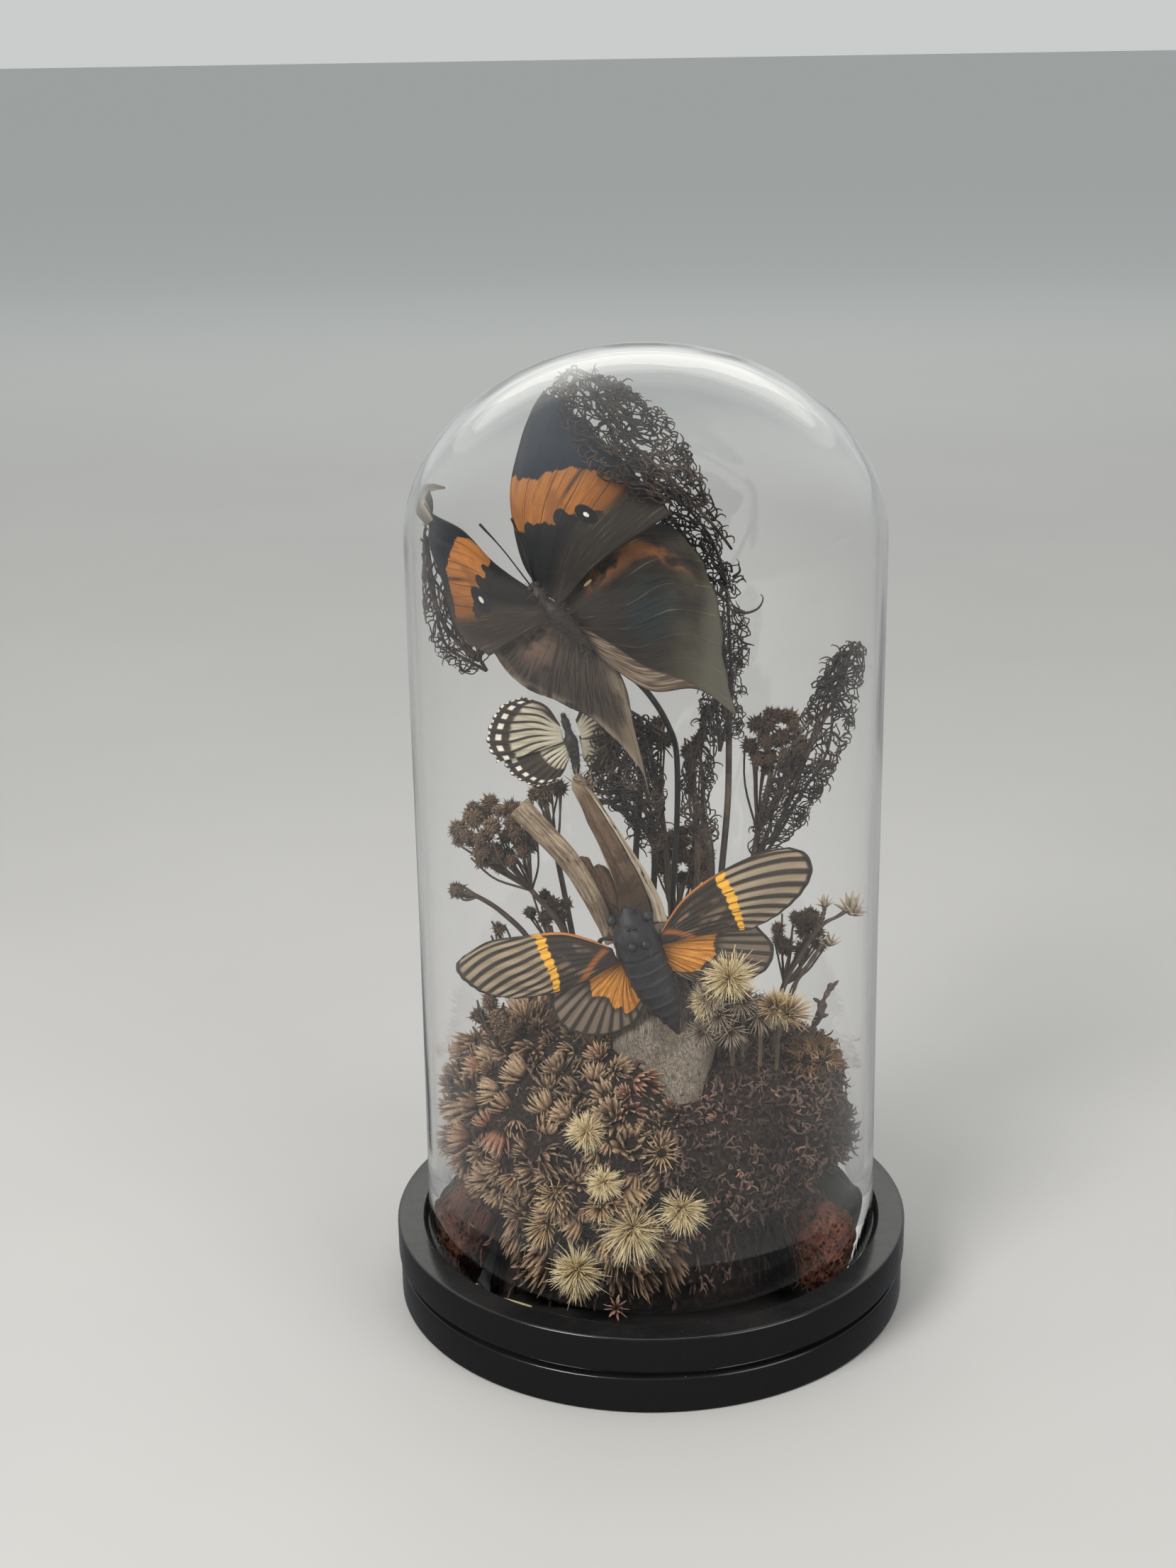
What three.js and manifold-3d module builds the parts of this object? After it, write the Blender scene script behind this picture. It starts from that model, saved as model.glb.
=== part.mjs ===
import * as THREE from 'three';
import Module from 'manifold-3d';

// Dried insects and flowers on driftwood, under a glass dome on a turned black base.
// Millimetres, +Z up, the front faces -Y, the origin is at the bottom centre of the base.

const wasm = await Module();
wasm.setup();

// ---- driving sizes ----
const LOWER_DISC_RADIUS = 64.5;
const LOWER_DISC_TOP = 9.3;
const NECK_RADIUS = 62.4;
const NECK_TOP = 11.1;
const UPPER_DISC_RADIUS = 65;
const UPPER_DISC_TOP = 20.2;
const RECESS_RADIUS = 57.9;
const FLOOR = 17.2;
const EDGE_BREAK = 0.8;
const GLASS_FOOT_RADIUS = 57;
const GLASS_RADIUS = 56.6;
const GLASS_WALL = 2.2;
const SHOULDER_HEIGHT = 195;
const DOME_HEIGHT = 239.7;
const TURNED_SIDES = 40;
const GAP = 0.15;
const WING_THICKNESS = 0.5;
const MOUND_TOP = 75;
const MOUND_RADIUS = 52;
const MOUND_DEPTH_RATIO = 0.88;

// ---- materials, one short function each ----
function surface(colour, roughness, metalness = 0) {
  return new THREE.MeshStandardMaterial({ color: colour, roughness, metalness });
}
const blackLacquer = () => surface(0x121314, 0.35);
const clearGlass = () => {
  const glass = surface(0xe8efec, 0.03);
  glass.transparent = true;
  glass.opacity = 0.25;
  return glass;
};
const driedFlower = () => surface(0x77604f, 0.9);
const curlyMoss = () => surface(0x4a3b3d, 0.95);
const redRock = () => surface(0x7a3f31, 0.95);
const greyWood = () => surface(0x9a8a76, 0.8);
const blackChitin = () => surface(0x17191a, 0.4);
const leafWing = () => surface(0x2e3436, 0.6);
const blackWire = () => surface(0x101010, 0.5);
const creamWing = () => surface(0xd8cfae, 0.7);
const stripedWing = () => surface(0xa08a6a, 0.55);
const orangeWing = () => surface(0xc77a1d, 0.6);
const blackLace = () => surface(0x2a2625, 0.85);
const brownHead = () => surface(0x5a4233, 0.95);
const creamStar = () => surface(0xb9a284, 0.85);
const creamFluff = () => surface(0xd9c79a, 0.95);
const rustMoss = () => surface(0x6b4424, 0.95);
const straw = () => surface(0xcdb48c, 0.7);
const pinkDried = () => surface(0xa88070, 0.85);

// ---- closed bodies from rings of points ----
const v3 = (point) => new THREE.Vector3(point[0], point[1], point[2]);

function closedBody(points, triangles) {
  let volume = 0;
  for (const [a, b, c] of triangles) {
    volume += points[a].dot(new THREE.Vector3().crossVectors(points[b], points[c])) / 6;
  }
  const faces = volume < 0 ? triangles.map(([a, b, c]) => [a, c, b]) : triangles;
  return new wasm.Manifold(new wasm.Mesh({
    numProp: 3,
    vertProperties: new Float32Array(points.flatMap((p) => [p.x, p.y, p.z])),
    triVerts: new Uint32Array(faces.flat()),
  }));
}

// Skin over rings that all hold the same number of points; each end is closed with a fan.
function loft(rings) {
  const count = rings[0].length;
  const points = rings.flat();
  const triangles = [];
  for (let i = 0; i + 1 < rings.length; i += 1) {
    for (let k = 0; k < count; k += 1) {
      const a = i * count + k;
      const b = i * count + ((k + 1) % count);
      triangles.push([a, b, b + count], [a, b + count, a + count]);
    }
  }
  const closeEnd = (start, order) => {
    const middle = new THREE.Vector3();
    for (let k = 0; k < count; k += 1) middle.addScaledVector(points[start + k], 1 / count);
    points.push(middle);
    for (let k = 0; k < count; k += 1) {
      const face = [start + k, start + ((k + 1) % count), points.length - 1];
      triangles.push(order ? face : face.reverse());
    }
  };
  closeEnd(0, false);
  closeEnd((rings.length - 1) * count, true);
  return closedBody(points, triangles);
}

// Skin over flat rings (upper row, then lower row back); both ends are closed across the thickness.
function slab(rings) {
  const count = rings[0].length;
  const half = count / 2;
  const points = rings.flat();
  const triangles = [];
  for (let i = 0; i + 1 < rings.length; i += 1) {
    for (let k = 0; k < count; k += 1) {
      const a = i * count + k;
      const b = i * count + ((k + 1) % count);
      triangles.push([a, b, b + count], [a, b + count, a + count]);
    }
  }
  for (const [start, order] of [[0, false], [(rings.length - 1) * count, true]]) {
    for (let k = 0; k + 1 < half; k += 1) {
      const a = start + k;
      const b = start + k + 1;
      const c = start + count - 2 - k;
      const d = start + count - 1 - k;
      const pair = [[a, b, c], [a, c, d]];
      triangles.push(...(order ? pair : pair.map((face) => face.reverse())));
    }
  }
  return closedBody(points, triangles);
}

const curve = (points) => new THREE.CatmullRomCurve3(points.map(v3), false, 'centripetal');

// A stem, limb or body: round rings of changing radius along a smooth path.
function limb(path, radii, steps = 8, sides = 6, flatten = 1) {
  const line = curve(path);
  const rings = [];
  let side = new THREE.Vector3(0.31, 0.2, 0.9).normalize();
  for (let i = 0; i <= steps; i += 1) {
    const u = i / steps;
    const centre = line.getPointAt(u);
    const along = line.getTangentAt(u);
    side.addScaledVector(along, -side.dot(along)).normalize();
    const up = new THREE.Vector3().crossVectors(along, side);
    const at = u * (radii.length - 1);
    const low = Math.min(Math.floor(at), radii.length - 2);
    const radius = radii[low] + (radii[low + 1] - radii[low]) * (at - low);
    const ring = [];
    for (let k = 0; k < sides; k += 1) {
      const angle = (k / sides) * 2 * Math.PI;
      ring.push(centre.clone()
        .addScaledVector(side, Math.cos(angle) * radius)
        .addScaledVector(up, Math.sin(angle) * radius * flatten));
    }
    rings.push(ring);
  }
  return loft(rings);
}

// A sheet between four edges: root to tip along both long edges, the outer margin across the end.
function membrane({ front, outer, back, camber = 0, thickness = WING_THICKNESS, along = 6, across = 4 }) {
  const frontEdge = curve(front);
  const outerEdge = curve(outer);
  const backEdge = curve(back);
  const corner = (t) => v3(front[0]).lerp(v3(back[0]), t);
  const tipA = v3(outer[0]);
  const tipB = v3(outer[outer.length - 1]);
  const place = (s, t) => {
    const a = frontEdge.getPointAt(s);
    const b = backEdge.getPointAt(s);
    const ruled = a.clone().lerp(b, t);
    const ends = corner(t).lerp(outerEdge.getPointAt(t), s);
    const flat = corner(t).lerp(tipA.clone().lerp(tipB, t), s);
    const bulge = camber * Math.sin(Math.PI * s) * Math.sin(Math.PI * t);
    return ruled.add(ends).sub(flat).add(new THREE.Vector3(0, -bulge, 0));
  };
  const step = 0.02;
  const normalAt = (s, t) => {
    const ds = place(Math.min(s + step, 1), t).sub(place(Math.max(s - step, 0), t));
    const dt = place(s, Math.min(t + step, 1)).sub(place(s, Math.max(t - step, 0)));
    return ds.cross(dt).normalize();
  };
  const rings = [];
  for (let i = 0; i <= along; i += 1) {
    const upper = [];
    const lower = [];
    for (let j = 0; j <= across; j += 1) {
      const centre = place(i / along, j / across);
      const push = normalAt(i / along, j / across).multiplyScalar(thickness / 2);
      upper.push(centre.clone().add(push));
      lower.unshift(centre.clone().sub(push));
    }
    rings.push([...upper, ...lower]);
  }
  return slab(rings);
}

// A rough lump: a subdivided ball pushed in and out by a slow ripple.
function lump(centre, radii, { detail = 1, rough = 0.12, seed = 0 } = {}) {
  const ball = new THREE.IcosahedronGeometry(1, detail);
  const place = ball.getAttribute('position');
  const points = [];
  const known = new Map();
  const triangles = [];
  for (let i = 0; i < place.count; i += 1) {
    const direction = new THREE.Vector3().fromBufferAttribute(place, i).normalize();
    const key = direction.toArray().map((value) => Math.round(value * 1e4)).join(' ');
    if (!known.has(key)) {
      known.set(key, points.length);
      const ripple = Math.sin(5.1 * direction.x + seed) + Math.sin(6.3 * direction.y + 2 * seed)
        + Math.sin(5.7 * direction.z + 3 * seed);
      const scale = 1 + (rough * ripple) / 3;
      points.push(new THREE.Vector3(
        centre[0] + direction.x * radii[0] * scale,
        centre[1] + direction.y * radii[1] * scale,
        centre[2] + direction.z * radii[2] * scale,
      ));
    }
    if (i % 3 === 0) triangles.push([]);
    triangles[triangles.length - 1].push(known.get(key));
  }
  return closedBody(points, triangles);
}

const fuse = (bodies) => bodies.reduce((whole, body) => whole.add(body));

const largest = (body) => body.decompose()
  .reduce((best, piece) => (piece.volume() > best.volume() ? piece : best));

// What is left of a body after its neighbours are cut out of it: its largest piece.
function carve(body, others) {
  let rest = body;
  for (const other of others) rest = rest.subtract(other);
  return largest(rest);
}

// A copy grown by GAP on every side of its bounding box.
function grown(body) {
  const box = body.boundingBox();
  const middle = [0, 1, 2].map((k) => (box.min[k] + box.max[k]) / 2);
  const factor = [0, 1, 2].map((k) => 1 + (2 * GAP) / Math.max(box.max[k] - box.min[k], 1));
  return body.translate(middle.map((m) => -m)).scale(factor).translate(middle);
}

// A convex plug, widened evenly from the mean of its corners until its middle is GAP wider all round.
function widened(plug) {
  const mesh = plug.getMesh();
  const middle = [0, 1, 2].map((k) => {
    let sum = 0;
    for (let i = 0; i < mesh.numVert; i += 1) sum += mesh.vertProperties[i * mesh.numProp + k];
    return sum / mesh.numVert;
  });
  const box = plug.boundingBox();
  const length = Math.hypot(...[0, 1, 2].map((k) => box.max[k] - box.min[k]));
  const factor = 1 + GAP / Math.sqrt(plug.volume() / (Math.PI * length));
  return plug.translate(middle.map((m) => -m)).scale(factor).translate(middle);
}

// What cuts a clearance round a neighbour: close round a thin piece, or a plain socket for a stem.
const clearance = (other) => other.add(grown(other));
const socket = (other, body) => widened(other.intersect(body).hull());

function turned(profile) {
  const shape = new THREE.LatheGeometry(profile.map(([r, z]) => new THREE.Vector2(r, z)), TURNED_SIDES);
  shape.rotateX(Math.PI / 2);
  shape.deleteAttribute('uv');
  shape.deleteAttribute('normal');
  return shape;
}

const group = new THREE.Group();

function geometryOf(body) {
  const mesh = body.getMesh();
  const shape = new THREE.BufferGeometry();
  const places = [];
  for (let i = 0; i < mesh.numVert; i += 1) {
    for (let k = 0; k < 3; k += 1) places.push(mesh.vertProperties[i * mesh.numProp + k]);
  }
  shape.setAttribute('position', new THREE.Float32BufferAttribute(places, 3));
  shape.setIndex(Array.from(mesh.triVerts));
  return shape;
}

function addShape(name, shape, material) {
  const mesh = new THREE.Mesh(shape, material);
  mesh.name = name;
  group.add(mesh);
}

// ---- base: two turned discs with a dark groove between them ----
function baseLower() {
  return turned([
    [0, 0], [LOWER_DISC_RADIUS - EDGE_BREAK, 0], [LOWER_DISC_RADIUS, EDGE_BREAK],
    [LOWER_DISC_RADIUS, LOWER_DISC_TOP - EDGE_BREAK], [LOWER_DISC_RADIUS - EDGE_BREAK, LOWER_DISC_TOP],
    [NECK_RADIUS, LOWER_DISC_TOP], [NECK_RADIUS, NECK_TOP], [0, NECK_TOP],
  ]);
}

function baseUpper() {
  return turned([
    [0, NECK_TOP], [UPPER_DISC_RADIUS - EDGE_BREAK, NECK_TOP], [UPPER_DISC_RADIUS, NECK_TOP + EDGE_BREAK],
    [UPPER_DISC_RADIUS, UPPER_DISC_TOP - EDGE_BREAK], [UPPER_DISC_RADIUS - EDGE_BREAK, UPPER_DISC_TOP],
    [RECESS_RADIUS, UPPER_DISC_TOP], [RECESS_RADIUS, FLOOR], [0, FLOOR],
  ]);
}

// ---- glass: a blown cylinder closed by a slightly flattened cap, open below ----
function glassDome() {
  const steps = 6;
  const outer = [];
  const inner = [];
  for (const [shift, line] of [[0, outer], [GLASS_WALL, inner]]) {
    line.push([GLASS_FOOT_RADIUS - shift, FLOOR], [GLASS_RADIUS - 0.2 - shift, 100]);
    for (let i = 0; i < steps; i += 1) {
      const angle = (i / steps) * (Math.PI / 2);
      line.push([
        (GLASS_RADIUS - shift) * Math.cos(angle),
        SHOULDER_HEIGHT + (DOME_HEIGHT - SHOULDER_HEIGHT - shift) * Math.sin(angle),
      ]);
    }
    line.push([0, DOME_HEIGHT - shift]);
  }
  return turned([...inner.reverse(), ...outer]);
}

// ---- mound of dried flowers (left) and curly moss (right) ----
// Where the mound is drawn in near the floor: bearing, reach and half-width of each dent.
const DENTS = [[-0.5, 35, 0.55], [-2.95, 37, 0.6], [-1.15, 34, 0.5]];

function moundRadius(angle, height) {
  const levels = [
    [FLOOR, 38], [26, 43.5], [36, 50], [44, MOUND_RADIUS],
    [57, MOUND_RADIUS], [63, 46], [70, 34], [MOUND_TOP, 15],
  ];
  let radius = levels[0][1];
  for (let i = 0; i + 1 < levels.length; i += 1) {
    const [z0, r0] = levels[i];
    const [z1, r1] = levels[i + 1];
    if (height >= z0 && height <= z1) radius = r0 + ((r1 - r0) * (height - z0)) / (z1 - z0);
  }
  for (const [bearing, reach, spread] of DENTS) {
    const away = Math.abs(Math.atan2(Math.sin(angle - bearing), Math.cos(angle - bearing)));
    const dented = reach + (radius - reach) * (away / spread) ** 2;
    if (away < spread && height < 38) radius = Math.min(radius, dented);
  }
  const lumps = 1 + 0.035 * Math.sin(7 * angle + height * 0.21) + 0.02 * Math.sin(13 * angle - height * 0.4);
  return Math.min(radius * lumps, 53.4);
}

function mound() {
  const sides = 26;
  const heights = [FLOOR, 25, 33, 38.5, 47, 56, 64, 71, MOUND_TOP];
  return loft(heights.map((height) => {
    const ring = [];
    for (let k = 0; k < sides; k += 1) {
      const angle = (k / sides) * 2 * Math.PI;
      const radius = moundRadius(angle, height);
      const depth = radius * Math.sin(angle) * MOUND_DEPTH_RATIO;
      ring.push(new THREE.Vector3(radius * Math.cos(angle), depth, height));
    }
    return ring;
  }));
}

// ---- driftwood: a trunk on one forward root, forked into two prongs with a broken web between them ----
function woodTrunk() {
  const trunk = limb(
    [[3.9, -8.6, 48], [4, -9, 58], [4, -10, 74], [1.5, -10, 88], [-1, -9, 101]],
    [5.5, 6.5, 11, 9, 7.5],
    8,
    9,
    0.75,
  );
  const frontRoot = limb(
    [[4, -6, 84], [4.2, -12, 80], [4.8, -18, 74.6], [6.2, -24.4, 69.8], [7.4, -30.2, 65], [7.8, -33, 58]],
    [7.5, 12, 12.8, 9, 5, 3],
    7,
    8,
    0.5,
  );
  return fuse([trunk, frontRoot]);
}

function woodProngLeft() {
  return limb(
    [
      [-8.8, -9.6, 97], [-10.6, -9, 101.5], [-13.1, -8, 107.2], [-16.5, -7, 113.5], [-20.7, -6, 119.2],
      [-26, -5, 124.9], [-31.2, -4, 130],
    ],
    [1.5, 1.7, 1.9, 2.1, 2.2, 2.3],
    10,
    8,
  );
}

function woodProngRight() {
  return membrane({
    front: [[-7.2, -8.6, 102.6], [-7.4, -7, 109], [-9.8, -5.6, 116.5], [-13, -4, 124], [-15.8, -2.6, 131]],
    outer: [
      [-15.8, -2.6, 131], [-18, -1.6, 135], [-17, -1.4, 137.4], [-14.6, -2.6, 135], [-12.4, -3.2, 132.4],
    ],
    back: [
      [4.8, -9.2, 101.8], [3.4, -8.2, 106.5], [0, -6.8, 113.5], [-4.6, -5.4, 120.6], [-12.4, -3.2, 132.4],
    ],
    thickness: 2.2,
    camber: 1.2,
    along: 8,
    across: 4,
  });
}

function woodWeb() {
  return membrane({
    front: [[-9.6, -7.2, 102.6], [-12, -6.2, 110.6], [-14.8, -5, 117.8]],
    outer: [[-14.8, -5, 117.8], [-12.6, -4.8, 119.4], [-10.9, -5, 117.6]],
    back: [[-8, -7, 102.8], [-8.3, -6, 110], [-10.9, -5, 117.6]],
    thickness: 1.6,
    along: 5,
    across: 3,
  });
}

// ---- leaf-like butterfly: head up to the left, wings curled ----
function leafBody() {
  const trunk = limb(
    [[-26.4, -12, 186.8], [-24.4, -12.6, 184.4], [-21, -13, 180.6], [-17, -12.8, 176], [-12.6, -12.2, 171.2]],
    [0.9, 1.6, 2.3, 2.2, 1.9, 1.5, 0.6],
    9,
    8,
  );
  const feelers = [[[-26.4, -12.6, 186.6], [-33.2, -16, 197], [-37, -18.5, 202.2]],
    [[-25.6, -12.6, 186.8], [-28.1, -16.5, 198], [-29.9, -18.5, 203.5]]];
  return fuse([trunk, ...feelers.map((path) => limb(path, [0.35, 0.3], 3, 3))]);
}

const leafWings = {
  leaf_fore_left: {
    front: [
      [-27.6, -12, 183.8], [-33.6, -13, 191.3], [-41.6, -12, 199.4], [-49, -7.5, 203], [-50.8, -5.6, 205.8],
      [-49.2, -7, 208],
    ],
    outer: [
      [-49.2, -7, 208], [-48.4, -6.6, 205.5], [-49.8, -4.2, 197], [-48.6, -4, 188], [-46.4, -4, 180],
      [-43, -6, 173], [-36.8, -9, 169],
    ],
    back: [[-24.8, -11.6, 179.4], [-29.9, -11, 173.8], [-36.8, -9, 169]],
    camber: 2,
  },
  leaf_fore_right: {
    front: [
      [-23.6, -11.6, 184.8], [-27.7, -12.6, 191.2], [-30.1, -11.5, 200.8], [-30.5, -9.5, 209.4],
      [-28.5, -7, 217.6], [-25.9, -4.5, 224.8], [-22.4, -2, 230],
    ],
    outer: [[-22.4, -2, 230], [-15.2, -3.5, 224.5], [-8, -6, 217.5], [-0.7, -8.6, 210.4], [6.5, -11, 203]],
    back: [[-19.6, -12.2, 182.4], [-9.8, -13, 192.5], [6.5, -11, 203]],
    camber: 3,
  },
  leaf_hind_left: {
    front: [[-23.6, -9.8, 180], [-28.6, -8.4, 173.8], [-34.5, -7.4, 167.8]],
    outer: [
      [-34.5, -7.4, 167.8], [-30.2, -7, 161.8], [-20.4, -8, 157], [-10.4, -9, 151.2], [-1.4, -11, 141.4],
      [0.7, -12, 135.2],
    ],
    back: [
      [-15.6, -10.8, 171.8], [-11.4, -11.8, 167.6], [-7.4, -12.6, 160.9], [-4.2, -12.8, 151.7],
      [0.7, -12, 135.2],
    ],
    camber: 1.5,
  },
  leaf_hind_right: {
    front: [[-20.4, -10.2, 182], [-13.6, -9.4, 190.6], [-4.9, -7.4, 199.4], [6.5, -5.4, 198.8]],
    outer: [[6.5, -5.4, 198.8], [12.8, -4.6, 191.1], [17, -4.6, 180], [18.6, -6, 166.8], [21.3, -9, 153.9]],
    back: [[-14, -10.2, 172.6], [-7, -11.6, 166.2], [1.5, -11.8, 161], [11.6, -11, 161.2], [21.3, -9, 153.9]],
    camber: 3,
  },
};

function leafWire() {
  return limb(
    [
      [-16.6, -8.9, 176.2], [-8, -7.2, 167.2], [-1.1, -8.6, 161.4], [2.4, -7.4, 156.4], [5.2, -4, 150],
      [7, 1, 143], [7.4, 3.2, 128], [6, 3.4, 100], [6, 3, 65],
    ],
    [0.55, 0.55],
    14,
    4,
  );
}

// ---- small white butterfly with black veins, behind on the left ----
function whiteBody() {
  const path = [[-20.6, 9, 149.6], [-19, 9, 144], [-17.6, 9, 137], [-17.4, 9, 133]];
  return limb(path, [0.8, 1.5, 1.3, 0.5], 6, 6);
}

const whiteWings = {
  white_fore_left: {
    front: [[-21.4, 9, 147], [-24.6, 8.4, 151.8], [-30.6, 9, 154]],
    outer: [[-30.6, 9, 154], [-35.9, 10, 151.8], [-39.4, 11, 146.5], [-40.2, 11, 141], [-37.6, 10, 136.7]],
    back: [[-20.4, 9.2, 142.4], [-28, 9.6, 139.4], [-37.6, 10, 136.7]],
    camber: 0.8,
  },
  white_hind_left: {
    front: [[-19.8, 10.2, 141.4], [-28, 10.9, 138.6], [-36.2, 11.4, 135.8]],
    outer: [[-36.2, 11.4, 135.8], [-33, 10.9, 132.2], [-27.5, 10.2, 130.2], [-22.4, 10, 131.6]],
    back: [[-19, 10.2, 138.2], [-20.4, 10, 134.6], [-22.4, 10, 131.6]],
    camber: 0.6,
  },
  white_fore_right: {
    front: [[-17.4, 9.4, 147.6], [-15, 10.4, 153], [-12, 12.4, 157.4]],
    outer: [[-12, 12.4, 157.4], [-8, 14.4, 153], [-6, 15.4, 148], [-6.4, 15, 143.6]],
    back: [[-16, 9.6, 143], [-11.4, 12, 143], [-6.4, 15, 143.6]],
    camber: 0.8,
  },
  white_hind_right: {
    front: [[-15.8, 9.8, 141.6], [-11.4, 12.4, 141.4], [-6.6, 15.2, 141.6]],
    outer: [[-6.6, 15.2, 141.6], [-7, 14.6, 136.6], [-9.6, 12.8, 133], [-13.2, 11, 132.6]],
    back: [[-15.6, 9.8, 137.8], [-14.4, 10.6, 135], [-13.2, 11, 132.6]],
    camber: 0.6,
  },
};

// ---- cicada: black body, banded wings, clinging to the front of the trunk ----
function cicadaBody() {
  const trunk = limb(
    [
      [-6.8, -25, 112.4], [-5.6, -25.4, 108.6], [-3.2, -25.6, 103], [-0.6, -25.4, 96.6],
      [3.4, -24.6, 87.4], [7, -23.6, 79],
    ],
    [1.6, 4.6, 5.3, 5.4, 4.7, 4.9, 4.3, 3.1, 1.6, 0.5],
    10,
    8,
    0.85,
  );
  const eyes = [[-9.9, -25.4, 109.2], [-2.8, -25.4, 110.2]]
    .map((centre) => lump(centre, [1.3, 1.2, 1.2], { detail: 0, rough: 0 }));
  const legs = [
    [[-4.6, -24.4, 104], [-11.4, -19.4, 101.4], [-9.6, -15.6, 94.4]],
    [[-2.6, -24.4, 104], [5.8, -19.4, 102.4], [7.6, -15.4, 96.4]],
    [[-1.6, -24.4, 98.4], [-8.6, -19.8, 92.6], [-9.2, -14.4, 85]],
    [[-0.6, -24.4, 98], [8, -19.8, 93.4], [11, -15.4, 86]],
  ].map((path) => limb(path, [0.7, 0.5, 0.35], 3, 3));
  return fuse([trunk, ...eyes, ...legs]);
}

const cicadaWings = {
  cicada_fore_right: {
    front: [
      [4, -26, 105.8], [5.2, -26.6, 110.4], [8, -27, 114.6], [11.9, -27, 118.2], [20, -25.6, 122.9],
      [27.6, -23.6, 125.4], [33, -22, 125.7],
    ],
    outer: [
      [33, -22, 125.7], [36.9, -20.6, 123.7], [38.5, -20, 119.4], [36.9, -20, 114.7], [31.2, -21, 108.8],
      [23.9, -22.6, 105.2],
    ],
    back: [[4.6, -25.8, 103.4], [14.3, -24.6, 105], [23.9, -22.6, 105.2]],
    camber: 1,
  },
  cicada_hind_right: {
    front: [[4.4, -24.6, 102.6], [14, -23, 103.6], [25.4, -20.6, 103.4]],
    outer: [
      [25.4, -20.6, 103.4], [29.8, -19, 99.4], [28.6, -19, 94.2], [24, -20, 91.4], [16, -20.6, 90.2],
      [9.6, -22, 92.2],
    ],
    back: [[4.8, -24.2, 97.6], [6.6, -23.6, 94.6], [9.6, -22, 92.2]],
    camber: 0.6,
  },
  cicada_fore_left: {
    front: [
      [-10.4, -25.8, 101.4], [-13.4, -26.8, 104.6], [-19.9, -27, 106.6], [-29.7, -25.6, 105.2],
      [-37.8, -23, 102.8], [-43.4, -20.6, 98.4],
    ],
    outer: [
      [-43.4, -20.6, 98.4], [-45.6, -19.8, 95.5], [-44.8, -19.8, 92.6], [-39.5, -20.6, 88.5],
      [-31.7, -22, 87.5],
    ],
    back: [[-9, -25.6, 98], [-19.5, -24.4, 90.8], [-31.7, -22, 87.5]],
    camber: 1,
  },
  cicada_hind_left: {
    front: [[-8.2, -24.4, 97], [-14.5, -23.4, 92.4], [-21.6, -22, 87.2]],
    outer: [
      [-21.6, -22, 87.2], [-22.8, -21, 83.6], [-19.9, -20.4, 78.8], [-12, -20.8, 77.2], [-4.4, -22, 80.6],
      [-1, -23, 86.6],
    ],
    back: [[-6.4, -24.2, 94.4], [-3.6, -23.6, 90.6], [-1, -23, 86.6]],
    camber: 0.6,
  },
};

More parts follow.
